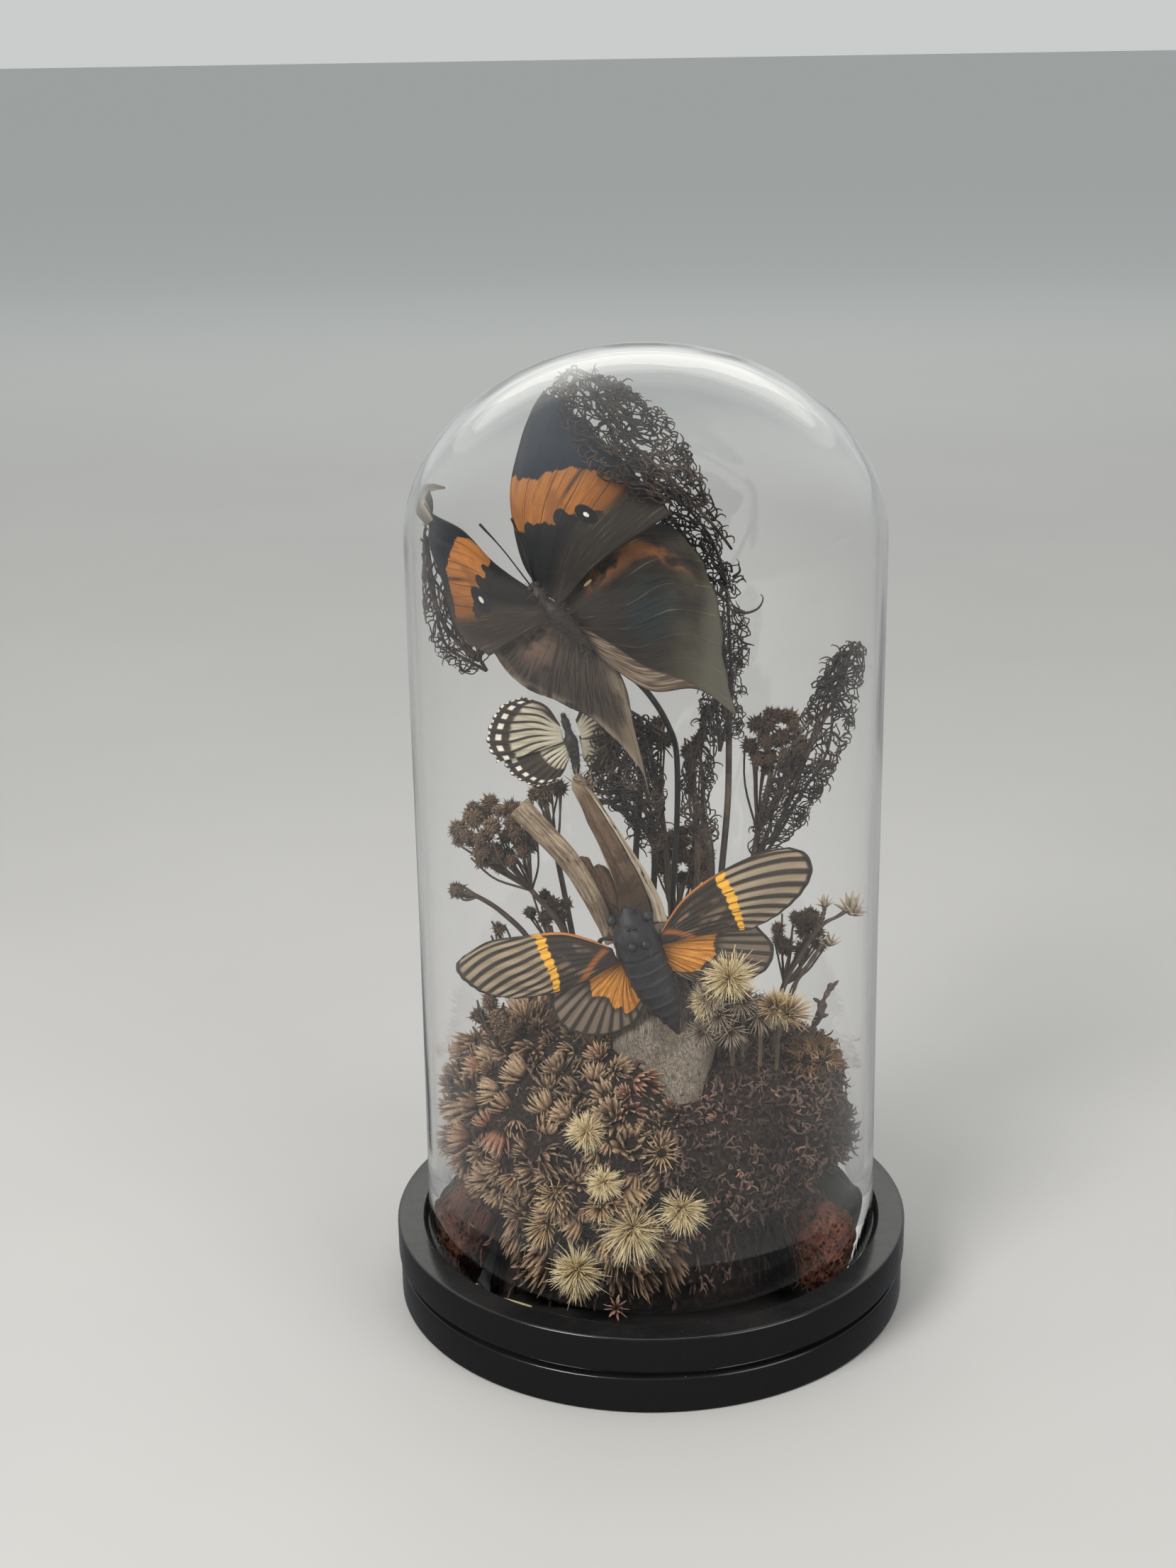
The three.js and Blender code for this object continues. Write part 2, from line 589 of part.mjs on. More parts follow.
// ---- black lace plumes: a thin lobed blade on a stem ----
const plumes = {
  plume_back: {
    blade: {
      front: [
        [14.4, 7.4, 140], [14.6, 6.4, 160], [12, 4.4, 178], [4, 3, 192], [-8, 3, 200], [-18, 4, 210],
        [-20.6, 5, 222],
      ],
      outer: [[-20.6, 5, 222], [-18.4, 6, 229.4], [-11, 7, 231], [-4, 7, 228.6]],
      back: [
        [21.4, 8, 140], [23, 9, 160], [22.4, 9.4, 178], [18.8, 9, 192], [12.6, 8.6, 206], [6, 8, 219],
        [-4, 7, 228.6],
      ],
      thickness: 2.4,
      along: 9,
      across: 3,
    },
    stem: [[20.6, 8.6, 160], [20.2, 8, 145], [19.8, 5.6, 128], [18.4, 3, 112], [16, 2, 84], [15, 2, 64]],
  },
  plume_left: {
    blade: {
      front: [[-40, 3.4, 160], [-49, 1.8, 168], [-52.6, 1.6, 180], [-52.8, 0.8, 192]],
      outer: [[-52.8, 0.8, 192], [-52, 0.8, 198], [-50, 0.8, 200]],
      back: [[-37, 4, 164], [-41.6, 2.4, 170], [-46, 0.8, 182], [-50, 0.8, 200]],
      thickness: 1.8,
      along: 6,
      across: 3,
    },
    stem: [
      [-41, 3, 164.6], [-37.4, 5, 169.4], [-26.6, 7, 164.6], [-12.4, 10, 153], [-2.6, 13.4, 139],
      [-3, 12.6, 110], [-5, 10, 65],
    ],
  },
  plume_centre: {
    blade: {
      front: [[0.6, 7.4, 113.5], [-5.2, 8.6, 124], [-13.6, 9.6, 129], [-13.4, 10.4, 137], [-12, 12, 146]],
      outer: [[-12, 12, 146], [-6, 11.6, 149.6], [1.4, 10.6, 146]],
      back: [[3.2, 7.2, 114], [3.2, 8, 122], [2.6, 8.8, 130], [3, 9.6, 138], [1.4, 10.6, 146]],
      thickness: 2,
      along: 6,
      across: 3,
    },
    stem: [[1.8, 7.5, 118], [1.6, 7, 108], [0.6, 5.6, 92], [0.4, 4.6, 65]],
  },
  plume_right: {
    blade: {
      front: [[25.8, 4.6, 113], [29.4, 6.4, 127], [36, 7.6, 140], [41, 7, 153], [46.4, 4.6, 165]],
      outer: [[46.4, 4.6, 165], [50.2, 3, 168.4], [52.4, 2.4, 166]],
      back: [[29.8, 4.6, 112.6], [38.6, 6, 125], [45.4, 6, 137], [50, 4.6, 150], [52.4, 2.4, 166]],
      thickness: 2.2,
      along: 7,
      across: 3,
    },
    stem: [[28, 4.8, 117], [26, 4, 108], [22, 2.6, 88], [20, 2, 63]],
  },
  plume_hanging: {
    blade: {
      front: [[14.4, 2.4, 116], [9.6, 3.2, 126], [9.6, 3.8, 136], [13.4, 4.2, 147]],
      outer: [[13.4, 4.2, 147], [14.4, 4.2, 153], [16.4, 4.2, 148]],
      back: [[16.6, 2.2, 115.6], [15.4, 3.2, 126], [15.4, 3.8, 137], [16.4, 4.2, 148]],
      thickness: 1.4,
      along: 5,
      across: 2,
    },
    stem: [[15.4, 2.4, 119], [15.8, 1, 110], [12.6, -0.6, 88], [11, -1, 65]],
  },
};

function plume({ blade, stem }) {
  return fuse([membrane(blade), limb(stem, [0.9, 0.8, 0.8], 8, 4)]);
}

// ---- dried yarrow: lumpy brown heads on thin stems ----
const yarrows = {
  yarrow_left: {
    head: [[-37.6, 6, 120.4], [10.2, 7.5, 9.6]],
    stem: [[-36.6, 6, 114], [-29, 7, 104], [-21, 7.6, 92], [-18, 8, 63]],
  },
  yarrow_left_small: {
    head: [[-47.6, 4, 106.2], [3.3, 3.2, 3.2]],
    stem: [[-45.4, 4.2, 105.4], [-37, 6.2, 99], [-28, 9, 86], [-23, 9, 55]],
  },
  yarrow_left_low: {
    head: [[-38.4, 9.6, 92.4], [3.6, 3.6, 4.6]],
    stem: [[-37, 9.8, 90], [-32, 10.4, 80], [-29, 11, 52]],
  },
  yarrow_left_dark: {
    head: [[-25.4, 13.4, 96.6], [7.4, 4.4, 6.2]],
    stem: [[-25, 13.4, 92], [-23.4, 13.4, 80], [-22, 13, 55]],
  },
  yarrow_back_left: {
    head: [[-25.6, 18.6, 126.6], [6, 5, 5.6]],
    stem: [[-25.6, 18.6, 123], [-23, 19, 108], [-19, 18, 84], [-16, 16, 58]],
  },
  yarrow_centre: {
    head: [[0.6, 17, 141.4], [6.6, 4.6, 6.6]],
    stem: [[1, 17, 137], [4, 16.4, 118], [6, 15, 92], [6, 14, 64]],
  },
  yarrow_centre_back: {
    head: [[11.6, 15, 137.6], [4.2, 4.6, 7.2]],
    stem: [[11.6, 15, 132], [12.6, 13.4, 116], [12, 11, 92], [11.6, 10, 64]],
  },
  yarrow_right: {
    head: [[32.4, 16, 139.6], [9.4, 6, 10.4]],
    stem: [[31, 15.6, 132], [27, 12, 114], [24, 9, 90], [22.6, 8, 62]],
  },
  yarrow_middle: {
    head: [[9.4, 22, 107], [9.4, 6.4, 9.6]],
    stem: [[8.6, 21.6, 100], [7, 20.6, 84], [6, 19.6, 60]],
  },
  yarrow_low_right: {
    head: [[38, 2, 94], [8.2, 6.4, 8.8]],
    stem: [[36.4, 1.6, 87], [33, 0.6, 78], [30, 0, 58]],
  },
  yarrow_low_left: {
    head: [[-39.2, -10, 77.4], [6, 6, 7.2]],
    stem: [[-38.6, -10, 73], [-36, -9, 66], [-33, -8, 52]],
  },
};

function yarrow({ head: [centre, radii], stem }, seed) {
  const steps = stem.length > 3 ? 5 : 3;
  return fuse([lump(centre, radii, { rough: 0.22, seed }), limb(stem, [0.7, 0.6, 0.7], steps, 4)]);
}

// ---- twig of cream star-shaped seed heads, right ----
function starTwig() {
  const stems = [
    [
      [50.6, -2, 103], [46.4, -3.4, 100.8], [42.6, -5, 99.4],
      [37.3, -7.4, 92.4], [32.8, -11, 85.6], [30, -12, 62],
    ],
    [[43.6, -4.2, 95], [39.4, -7.6, 90.4], [35.4, -10.4, 85.4], [31.4, -11.6, 72]],
    [[43.2, -4, 104.6], [42.8, -4.6, 101.8], [41.2, -5.6, 98]],
  ];
  const heads = [
    [[50.6, -2, 103.6], [2.6, 2.2, 4.2]],
    [[43.2, -4, 105.4], [1.5, 1.5, 2.2]],
    [[44.4, -4, 95.2], [2, 1.7, 2.6]],
  ];
  return fuse([
    ...stems.map((path) => limb(path, [0.45, 0.45], 5, 3)),
    ...heads.map(([centre, radii], index) => lump(centre, radii, { detail: 0, rough: 0.3, seed: index })),
  ]);
}

function knobTwig() {
  const path = [[45, -8, 85], [42.8, -9, 81], [41.8, -10, 77.4], [38, -12, 72], [34, -13, 60]];
  return limb(path, [0.6, 0.5, 0.7, 0.5, 0.6], 8, 5);
}

// ---- cream seed puffs: the high ones stand on stems, the others are pressed into the mound ----
const puffs = {
  puff_high_right: {
    centre: [19.3, -24.4, 95], radius: 5.8,
    stem: [[19.6, -24, 91], [20, -22.6, 78], [20, -21, 60]],
  },
  puff_high_low: {
    centre: [13.2, -22.6, 86.6], radius: 3.8,
    stem: [[13.4, -22.4, 84], [14, -21.4, 74], [14, -20, 60]],
  },
  puff_high_outer: {
    centre: [31.6, -20, 84], radius: 3.9,
    stem: [[31.6, -19.8, 81], [31, -18.6, 72], [30, -18, 58]],
  },
  puff_front_big: { centre: [-4.2, -45.2, 37.6], radius: 5.8 },
  puff_front_right: { centre: [8, -45.4, 43.2], radius: 4.6 },
  puff_front_low: { centre: [-17.5, -42, 26.6], radius: 5.2 },
  puff_upper_left: { centre: [-14.8, -40, 61.4], radius: 4.2 },
  puff_middle: { centre: [-10.8, -45.4, 50.4], radius: 3.8 },
};

function puff({ centre, radius, stem }) {
  const ball = lump(centre, [radius, radius, radius], { rough: 0.06 });
  return stem ? fuse([ball, limb(stem, [0.7, 0.6, 0.6], 3, 4)]) : ball;
}

// ---- loose red rocks, rust moss and small bits ----
function rockRight() {
  return lump([41, -23.4, 25.8], [7.6, 6.2, 8.5], { rough: 0.3, seed: 1.2 });
}

function rockLeft() {
  return lump([-43.6, -9, 27], [7.6, 6.6, 9.6], { rough: 0.3, seed: 2.6 });
}

function standOn(body, height) {
  return body.trimByPlane([0, 0, 1], height);
}

const strawBits = {
  straw_front: [[-35.6, -31.5, 17.75], [-31.8, -32.8, 17.75], [-27.6, -33.4, 17.75]],
  straw_side: [[-41, -28.4, 17.7], [-38.4, -29, 17.7], [-36.2, -29.2, 17.7]],
};

function rustTuft() {
  return lump([40.6, -12.4, 68.4], [5.6, 4.6, 3.6], { detail: 0, rough: 0.3, seed: 4 });
}

function pinkStar() {
  return lump([-8, -46.4, 20.2], [2.6, 1.8, 2.4], { detail: 0, rough: 0.4, seed: 0.7 });
}

// ---- assembly: each piece is cut clear of the ones placed before it ----
addShape('base_lower', baseLower(), blackLacquer());
addShape('base_upper', baseUpper(), blackLacquer());
addShape('glass_dome', glassDome(), clearGlass());

const placed = [];

function place(name, body, material, cutter = clearance) {
  const box = body.boundingBox();
  const near = placed.filter((other) => {
    const its = other.boundingBox();
    return [0, 1, 2].every((k) => its.min[k] - 1 < box.max[k] && its.max[k] + 1 > box.min[k]);
  });
  const touching = near.filter((other) => !other.intersect(body).isEmpty());
  const clear = touching.length ? carve(body, touching.map((other) => cutter(other, body))) : body;
  placed.push(clear);
  addShape(name, geometryOf(clear), material);
}

place('wood_trunk', woodTrunk(), greyWood());
place('wood_prong_left', woodProngLeft(), greyWood());
place('wood_prong_right', woodProngRight(), greyWood());
place('wood_web', woodWeb(), greyWood());
place('cicada_body', cicadaBody(), blackChitin());
for (const [name, wing] of Object.entries(cicadaWings)) {
  place(name, membrane(wing), name.includes('hind') ? orangeWing() : stripedWing());
}
place('leaf_body', leafBody(), blackChitin());
for (const [name, wing] of Object.entries(leafWings)) place(name, membrane(wing), leafWing());
place('leaf_wire', leafWire(), blackWire());
place('white_body', whiteBody(), blackChitin());
for (const [name, wing] of Object.entries(whiteWings)) place(name, membrane(wing), creamWing());
for (const [name, parts] of Object.entries(plumes)) place(name, plume(parts), blackLace());
Object.entries(yarrows).forEach(([name, parts], index) => place(name, yarrow(parts, index), brownHead()));
place('star_twig', starTwig(), creamStar());
place('knob_twig', knobTwig(), blackLace());
for (const [name, parts] of Object.entries(puffs)) place(name, puff(parts), creamFluff());
place('rock_right', standOn(rockRight(), FLOOR), redRock());
place('rock_left', standOn(rockLeft(), FLOOR), redRock());
place('rust_moss', rustTuft(), rustMoss());
place('pink_star', standOn(pinkStar(), FLOOR), pinkDried());
for (const [name, path] of Object.entries(strawBits)) {
  place(name, limb(path, [0.3, 0.5, 0.3], 4, 5), straw());
}

const whole = mound();
place('mound_flowers', whole.trimByPlane([-1, 0, 0], -1), driedFlower(), socket);
place('mound_moss', whole.trimByPlane([1, 0, 0], 1 + GAP), curlyMoss(), socket);

export default group;
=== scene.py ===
import math

import bmesh
import bpy
import numpy as np
from mathutils import Matrix, Vector
from numpy.random import default_rng


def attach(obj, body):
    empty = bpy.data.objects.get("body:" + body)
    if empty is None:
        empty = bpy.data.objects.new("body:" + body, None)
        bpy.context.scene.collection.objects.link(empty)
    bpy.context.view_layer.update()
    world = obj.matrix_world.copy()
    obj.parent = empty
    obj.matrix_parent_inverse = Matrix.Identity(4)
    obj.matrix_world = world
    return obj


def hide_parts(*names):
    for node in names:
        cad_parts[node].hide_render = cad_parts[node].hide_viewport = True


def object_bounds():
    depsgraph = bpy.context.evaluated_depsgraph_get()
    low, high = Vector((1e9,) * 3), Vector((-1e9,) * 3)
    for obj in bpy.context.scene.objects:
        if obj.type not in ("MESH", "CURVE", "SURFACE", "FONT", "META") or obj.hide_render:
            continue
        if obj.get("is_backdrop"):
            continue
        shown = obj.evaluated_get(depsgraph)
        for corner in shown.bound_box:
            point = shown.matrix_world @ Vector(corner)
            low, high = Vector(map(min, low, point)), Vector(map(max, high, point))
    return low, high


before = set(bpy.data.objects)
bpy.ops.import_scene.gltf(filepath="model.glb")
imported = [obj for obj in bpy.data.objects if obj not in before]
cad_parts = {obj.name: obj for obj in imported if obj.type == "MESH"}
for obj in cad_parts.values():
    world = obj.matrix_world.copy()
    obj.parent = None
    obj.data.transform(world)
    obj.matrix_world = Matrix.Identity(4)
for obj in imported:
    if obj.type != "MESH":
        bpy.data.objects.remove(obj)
cad_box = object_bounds()
scene = bpy.context.scene


# Base: two turned discs of black lacquered wood on one another, with a shadow groove between
# them. A round recess in the upper disc holds the rim of the glass, so the cover lifts off.
MM = 0.001


class Field:
    """A value that varies over a surface. Arithmetic on it adds Math nodes, and a | b is the greater."""

    def __init__(self, paint, socket):
        self.paint = paint
        self.socket = socket

    def math(self, operation, other=0.0, flipped=False):
        first, second = (other, self) if flipped else (self, other)
        return self.paint.node("Math", {"operation": operation}, {0: first, 1: second})

    __add__ = __radd__ = lambda self, other: self.math("ADD", other)
    __mul__ = __rmul__ = lambda self, other: self.math("MULTIPLY", other)
    __sub__ = lambda self, other: self.math("SUBTRACT", other)
    __rsub__ = lambda self, other: self.math("SUBTRACT", other, True)
    __or__ = lambda self, other: self.math("MAXIMUM", other)
    __abs__ = lambda self: self.math("ABSOLUTE")

    def axis(self, number):
        return self.paint.node("SeparateXYZ", {}, {0: self}, number)

    def rises(self, low, high):
        """0 below low and 1 above high, smooth between; the other way round if high is the lower."""
        inputs = {"Value": self, "From Min": low, "From Max": high}
        return self.paint.node("MapRange", {"interpolation_type": "SMOOTHSTEP"}, inputs)

    def between(self, low, high, soft):
        """1 where the value lies from low to high, with soft edges."""
        return self.rises(low - soft, low + soft) * self.rises(high + soft, high - soft)


class Paint:
    """One finish: a material with its shader, and a short way to add nodes to it."""

    def __init__(self, name, specular=0.5, **numbers):
        self.material = bpy.data.materials.new(name)
        self.material.use_nodes = True
        self.tree = self.material.node_tree
        self.shader = self.tree.nodes["Principled BSDF"]
        for socket, value in {"Specular IOR Level": specular, **numbers}.items():
            self.shader.inputs[socket.replace("_", " ")].default_value = value

    def join(self, value, socket):
        if isinstance(value, Field):
            self.tree.links.new(value.socket, socket)
        elif isinstance(value, (tuple, list)) and socket.type == "RGBA":
            socket.default_value = (*value[:3], 1)
        else:
            socket.default_value = value

    def node(self, kind, settings, inputs, output=0):
        """Adds a shader node: its settings first, then the value or link of each socket."""
        node = self.tree.nodes.new("ShaderNode" + kind)
        for setting, value in settings.items():
            if setting == "stops":
                self.set_stops(node.color_ramp, value)
            else:
                setattr(node, setting, value)
        for socket, value in inputs.items():
            self.join(value, node.inputs[socket])
        return Field(self, node.outputs[output])

    def set_stops(self, ramp, stops):
        while len(ramp.elements) < len(stops):
            ramp.elements.new(1)
        for element, (place, value) in zip(ramp.elements, stops):
            element.position = place
            element.color = (*value, 1) if isinstance(value, tuple) else (value, value, value, 1)

    def stretched(self, where, stretch):
        return self.node("VectorMath", {"operation": "MULTIPLY"}, {0: where, 1: stretch})

    def place(self, x=1, y=1, z=1):
        """Where a point of the piece is, in millimetres, stretched along each axis."""
        where = self.node("TexCoord", {}, {}, 3)
        return self.stretched(where, (x / MM, y / MM, z / MM))

    def along(self, x=1, y=1):
        """The piece's own map, stretched, for patterns that follow its shape."""
        return self.stretched(self.node("UVMap", {}, {}), (x, y, 1))

    def grain(self, x=1, y=1, z=1):
        """Where a point lies on what has grown: two distances across it and one along it."""
        where = self.node("Attribute", {"attribute_name": "grain"}, {}, 1)
        return self.stretched(where, (x, y, z))

    def map_axes(self):
        where = self.node("UVMap", {}, {})
        return where.axis(0), where.axis(1)

    def read(self, name):
        """The number that each point keeps under a name: tip along a hair, or shade by chance."""
        return self.node("Attribute", {"attribute_name": name}, {}, 2)

    def noise(self, where, scale, detail=3, rough=0.55):
        inputs = {"Vector": where, "Scale": scale, "Detail": detail, "Roughness": rough}
        return self.node("TexNoise", {}, inputs)

    def clouds(self, scale, detail=3, rough=0.55):
        """Noise over the piece, scale in waves a millimetre."""
        return self.noise(self.place(), scale, detail, rough)

    def cells(self, where, scale):
        return self.node("TexVoronoi", {}, {"Vector": where, "Scale": scale})

    def curve(self, value, stops):
        """A value, or a colour, read off stops along another value."""
        return self.node("ValToRGB", {"stops": stops}, {0: value})

    def mix(self, first, second, share):
        return self.node("Mix", {"data_type": "RGBA"}, {0: share, 6: first, 7: second}, 2)

    def tones(self, colour, low, high, share):
        """From a darker to a paler make of one colour."""
        return self.mix(*(tuple(factor * part for part in colour) for factor in (low, high)), share)

    def layers(self, ground, *coats):
        """A ground colour with coats over it, each a colour and where it shows."""
        for colour, share in coats:
            ground = self.mix(ground, colour, share)
        return ground

    def finish(self, colour=None, roughness=None, relief=None, depth=0.2, **others):
        """Joins what varies to the shader. relief is a height field, depth its size in millimetres."""
        if relief is not None:
            inputs = {"Height": relief, "Strength": 1.0, "Distance": depth * MM}
            others["Normal"] = self.node("Bump", {}, inputs)
        for socket, value in {"Base Color": colour, "Roughness": roughness, **others}.items():
            if value is not None:
                self.join(value, self.shader.inputs[socket.replace("_", " ")])
        return self.material


def make_mesh(name, points, faces, uv=None, smooth=True):
    """A mesh from points in millimetres, with its own map if uv is given."""
    mesh = bpy.data.meshes.new(name)
    mesh.from_pydata((np.asarray(points, float) * MM).tolist(), [], faces)
    if uv is not None:
        corner = np.empty(len(mesh.loops), np.int32)
        mesh.loops.foreach_get("vertex_index", corner)
        layer = mesh.uv_layers.new(name="UVMap")
        layer.data.foreach_set("uv", np.asarray(uv, np.float32)[corner].ravel())
    mesh.polygons.foreach_set("use_smooth", [smooth] * len(mesh.polygons))
    return mesh


def with_values(mesh, name, values):
    """Keeps a number or a vector for each point of a mesh, for its finish to read."""
    values = np.asarray(values, np.float32)
    kind, key = ("FLOAT", "value") if values.ndim == 1 else ("FLOAT_VECTOR", "vector")
    mesh.attributes.new(name, kind, "POINT").data.foreach_set(key, values.ravel())
    return mesh


def turned_outwards(mesh, cap=False):
    """Turns the faces outwards, and first closes the open ends if asked to."""
    shell = bmesh.new()
    shell.from_mesh(mesh)
    if cap:
        bmesh.ops.holes_fill(shell, edges=[edge for edge in shell.edges if edge.is_boundary], sides=0)
    bmesh.ops.recalc_face_normals(shell, faces=shell.faces)
    shell.to_mesh(mesh)
    shell.free()
    return mesh


def put(name, data):
    """A new object in the scene."""
    made = bpy.data.objects.new(name, data)
    scene.collection.objects.link(made)
    return made


def fit(name, mesh, finish, slot, *nodes):
    """Puts a finished piece on the frame, in place of the plain solids it stands for."""
    piece = put(name, mesh)
    if finish is not None:
        mesh.materials.clear()
        mesh.materials.append(finish)
    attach(piece, "root")
    if nodes:
        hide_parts(*nodes)


def rounded(corners, radius=0.8, steps=5):
    """A turned profile of (radius, height) points whose inner corners are eased by small arcs."""
    made = [corners[0]]
    for before, corner, after in zip(corners, corners[1:], corners[2:]):
        before, corner, after = (np.array(p, float) for p in (before, corner, after))
        into, out = before - corner, after - corner
        reach = min(radius, np.linalg.norm(into) / 2.2, np.linalg.norm(out) / 2.2)
        start = corner + into / np.linalg.norm(into) * reach
        end = corner + out / np.linalg.norm(out) * reach
        for step in range(steps + 1):
            t = step / steps
            made.append(tuple((1 - t) ** 2 * start + 2 * t * (1 - t) * corner + t * t * end))
    made.append(corners[-1])
    return made


def rings_joined(rows, turns):
    """Quads between rings of points that are numbered ring after ring."""
    steps = [(turn, (turn + 1) % turns) for turn in range(turns)]
    starts = [(row * turns, (row + 1) * turns) for row in range(rows - 1)]
    return [(a + turn, a + after, b + after, b + turn) for a, b in starts for turn, after in steps]


def lathe(name, profile, turns=160):
    """A closed turned body from a profile that starts and ends on the axis."""
    points, uv = [], []
    inner = profile[1:-1]
    for row, (radius, height) in enumerate(inner):
        for turn in range(turns):
            angle = 2 * math.pi * turn / turns
            points.append((radius * math.cos(angle), radius * math.sin(angle), height))
            uv.append((turn / turns, row / len(inner)))
    faces = rings_joined(len(inner), turns)
    first, last = len(points), len(points) + 1
    points += [(0, 0, profile[0][1]), (0, 0, profile[-1][1])]
    uv += [(0, 0), (0, 1)]
    top = (len(inner) - 1) * turns
    for turn in range(turns):
        after = (turn + 1) % turns
        faces.append((first, after, turn))
        faces.append((last, top + turn, top + after))
    return turned_outwards(make_mesh(name, points, faces, uv))


def lacquer():
    """Black lacquer with a little orange peel, and dust that has settled on what faces up."""
    paint = Paint("black_lacquer", 0.2, Coat_Roughness=0.12)
    place = paint.place()
    level = paint.node("NewGeometry", {}, {}, 1).axis(2).rises(0.7, 0.95)
    specks = paint.cells(place, 0.4).rises(0.09, 0.03) * paint.noise(place, 0.09).rises(0.5, 0.62)
    haze = paint.noise(place, 0.035, 5).rises(0.35, 0.75)
    dust = level * (specks * 0.6 | haze * 0.035)
    colour = paint.layers((0.008, 0.008, 0.009), ((0.3, 0.28, 0.26), dust))
    wear = paint.noise(place, 0.3, 6).rises(0.3, 0.8)
    from_axis = paint.node("VectorMath", {"operation": "LENGTH"}, {0: paint.place(1, 1, 0)}, 1)
    inside = from_axis.rises(56.5, 54)
    roughness = 0.2 + 0.14 * wear + 0.4 * dust + 0.5 * inside
    coat = (0.4 - 0.3 * dust) * (1 - inside)
    return paint.finish(colour, roughness, relief=paint.noise(place, 0.25, 2), depth=0.008,
        Coat_Weight=coat)


BASE_LACQUER = lacquer()
lower_disc = [(0, 0), (64.5, 0), (64.5, 9.3), (62.4, 9.3), (62.4, 11.1), (0, 11.1)]
upper_disc = [(0, 11.1), (65, 11.1), (65, 20.2), (57.9, 20.2), (57.9, 17.2), (0, 17.2)]
fit("lower_base_disc", lathe("lower_base_disc", rounded(lower_disc)), BASE_LACQUER, "base", "base_lower")
fit("upper_base_disc", lathe("upper_base_disc", rounded(upper_disc)), BASE_LACQUER, "base", "base_upper")


# Red stones and straw: two lumps of porous red stone lie against the mound, and a few bits of
# straw have dropped on the floor of the recess.
FLOOR = 17.2


def wobble(points, scale, seed):
    """Smooth noise from -1 to 1 at each point, made of a few waves in random directions."""
    chance = default_rng(seed)
    points = np.asarray(points, float)
    total = np.zeros(points.shape[:-1])
    for octave, share in enumerate((0.5, 0.3, 0.2)):
        for _ in range(5):
            wave = chance.normal(size=3)
            wave *= scale * 2 ** octave / np.linalg.norm(wave)
            total += share / 5 * 2 * np.sin(points @ wave + chance.uniform(0, 6.28))
    return total


def ball_shape(fineness, radius=1):
    """The points and faces of a ball."""
    ball = bmesh.new()
    bmesh.ops.create_icosphere(ball, subdivisions=fineness, radius=radius)
    points = np.array([vertex.co for vertex in ball.verts])
    faces = [tuple(vertex.index for vertex in face.verts) for face in ball.faces]
    ball.free()
    return points, faces


def stone(name, centre, radii, seed, node):
    """A rough lump of stone with a pitted skin, flat where it lies on the floor."""
    unit, faces = ball_shape(5)
    lumps = 1 + 0.2 * wobble(unit, 2.4, seed) + 0.13 * wobble(unit, 8, seed + 1)
    pits = np.clip(wobble(unit, 21, seed + 2), 0, 1) ** 1.2
    points = unit * (lumps - 0.2 * pits)[:, None] * np.array(radii) + np.array(centre)
    points[:, 2] = np.maximum(points[:, 2], FLOOR + 0.05)
    fit(name, make_mesh(name, points, faces), RED_STONE, "red_rock", node)


def red_stone():
    paint = Paint("porous_red_stone", 0.25)
    place = paint.place()
    holes = paint.cells(place, 0.75).rises(0.1, 0.42)
    grain = paint.noise(place, 1.6, 6, 0.7)
    patches = paint.noise(place, 0.16, 4).rises(0.35, 0.65)
    colour = paint.layers(
        (0.15, 0.048, 0.028),
        ((0.3, 0.1, 0.052), grain.rises(0.46, 0.6)),
        ((0.065, 0.03, 0.022), patches * 0.8),
        ((0.24, 0.19, 0.14), paint.noise(place, 0.5, 5).rises(0.58, 0.68) * 0.5),
        # Near black inside the pits: painted shade in the holes.
        ((0.022, 0.012, 0.009), 1 - holes),
    )
    return paint.finish(colour, 0.75 + 0.2 * grain, relief=holes + 0.7 * grain, depth=1.1)


RED_STONE = red_stone()
stone("red_stone_right", (41, -23.4, 25.8), (7.4, 6, 8.3), 5, "rock_right")
stone("red_stone_left", (-43.6, -9, 27), (7.4, 6.4, 9.4), 9, "rock_left")


def smooth_line(points):
    """A smooth line through points in millimetres, read by its share of the length."""
    points = np.array(points, float)
    padded = np.vstack([2 * points[0] - points[1], points, 2 * points[-1] - points[-2]])
    drawn = []
    for before, start, end, after in zip(padded, padded[1:], padded[2:], padded[3:]):
        pairs = (before, start), (start, end), (end, after)
        gaps = [max(np.linalg.norm(b - a) ** 0.5, 1e-4) for a, b in pairs]
        leave = (start - before) / gaps[0] - (end - before) / (gaps[0] + gaps[1]) + (end - start) / gaps[1]
        arrive = (end - start) / gaps[1] - (after - start) / (gaps[1] + gaps[2]) + (after - end) / gaps[2]
        leave, arrive = leave * gaps[1], arrive * gaps[1]
        t = np.linspace(0, 1, 24, endpoint=False)[:, None]
        square, cube = 3 * (end - start) - 2 * leave - arrive, 2 * (start - end) + leave + arrive
        drawn.append(start + leave * t + square * t ** 2 + cube * t ** 3)
    drawn = np.vstack(drawn + [points[-1:]])
    length = np.concatenate([[0], np.cumsum(np.linalg.norm(np.diff(drawn, axis=0), axis=1))])

    def at(share):
        reach = np.asarray(share) * length[-1]
        return np.stack([np.interp(reach, length, drawn[:, axis]) for axis in range(3)], -1)

    return at


def unit_vectors(vectors):
    return vectors / np.maximum(np.linalg.norm(vectors, axis=-1, keepdims=True), 1e-9)


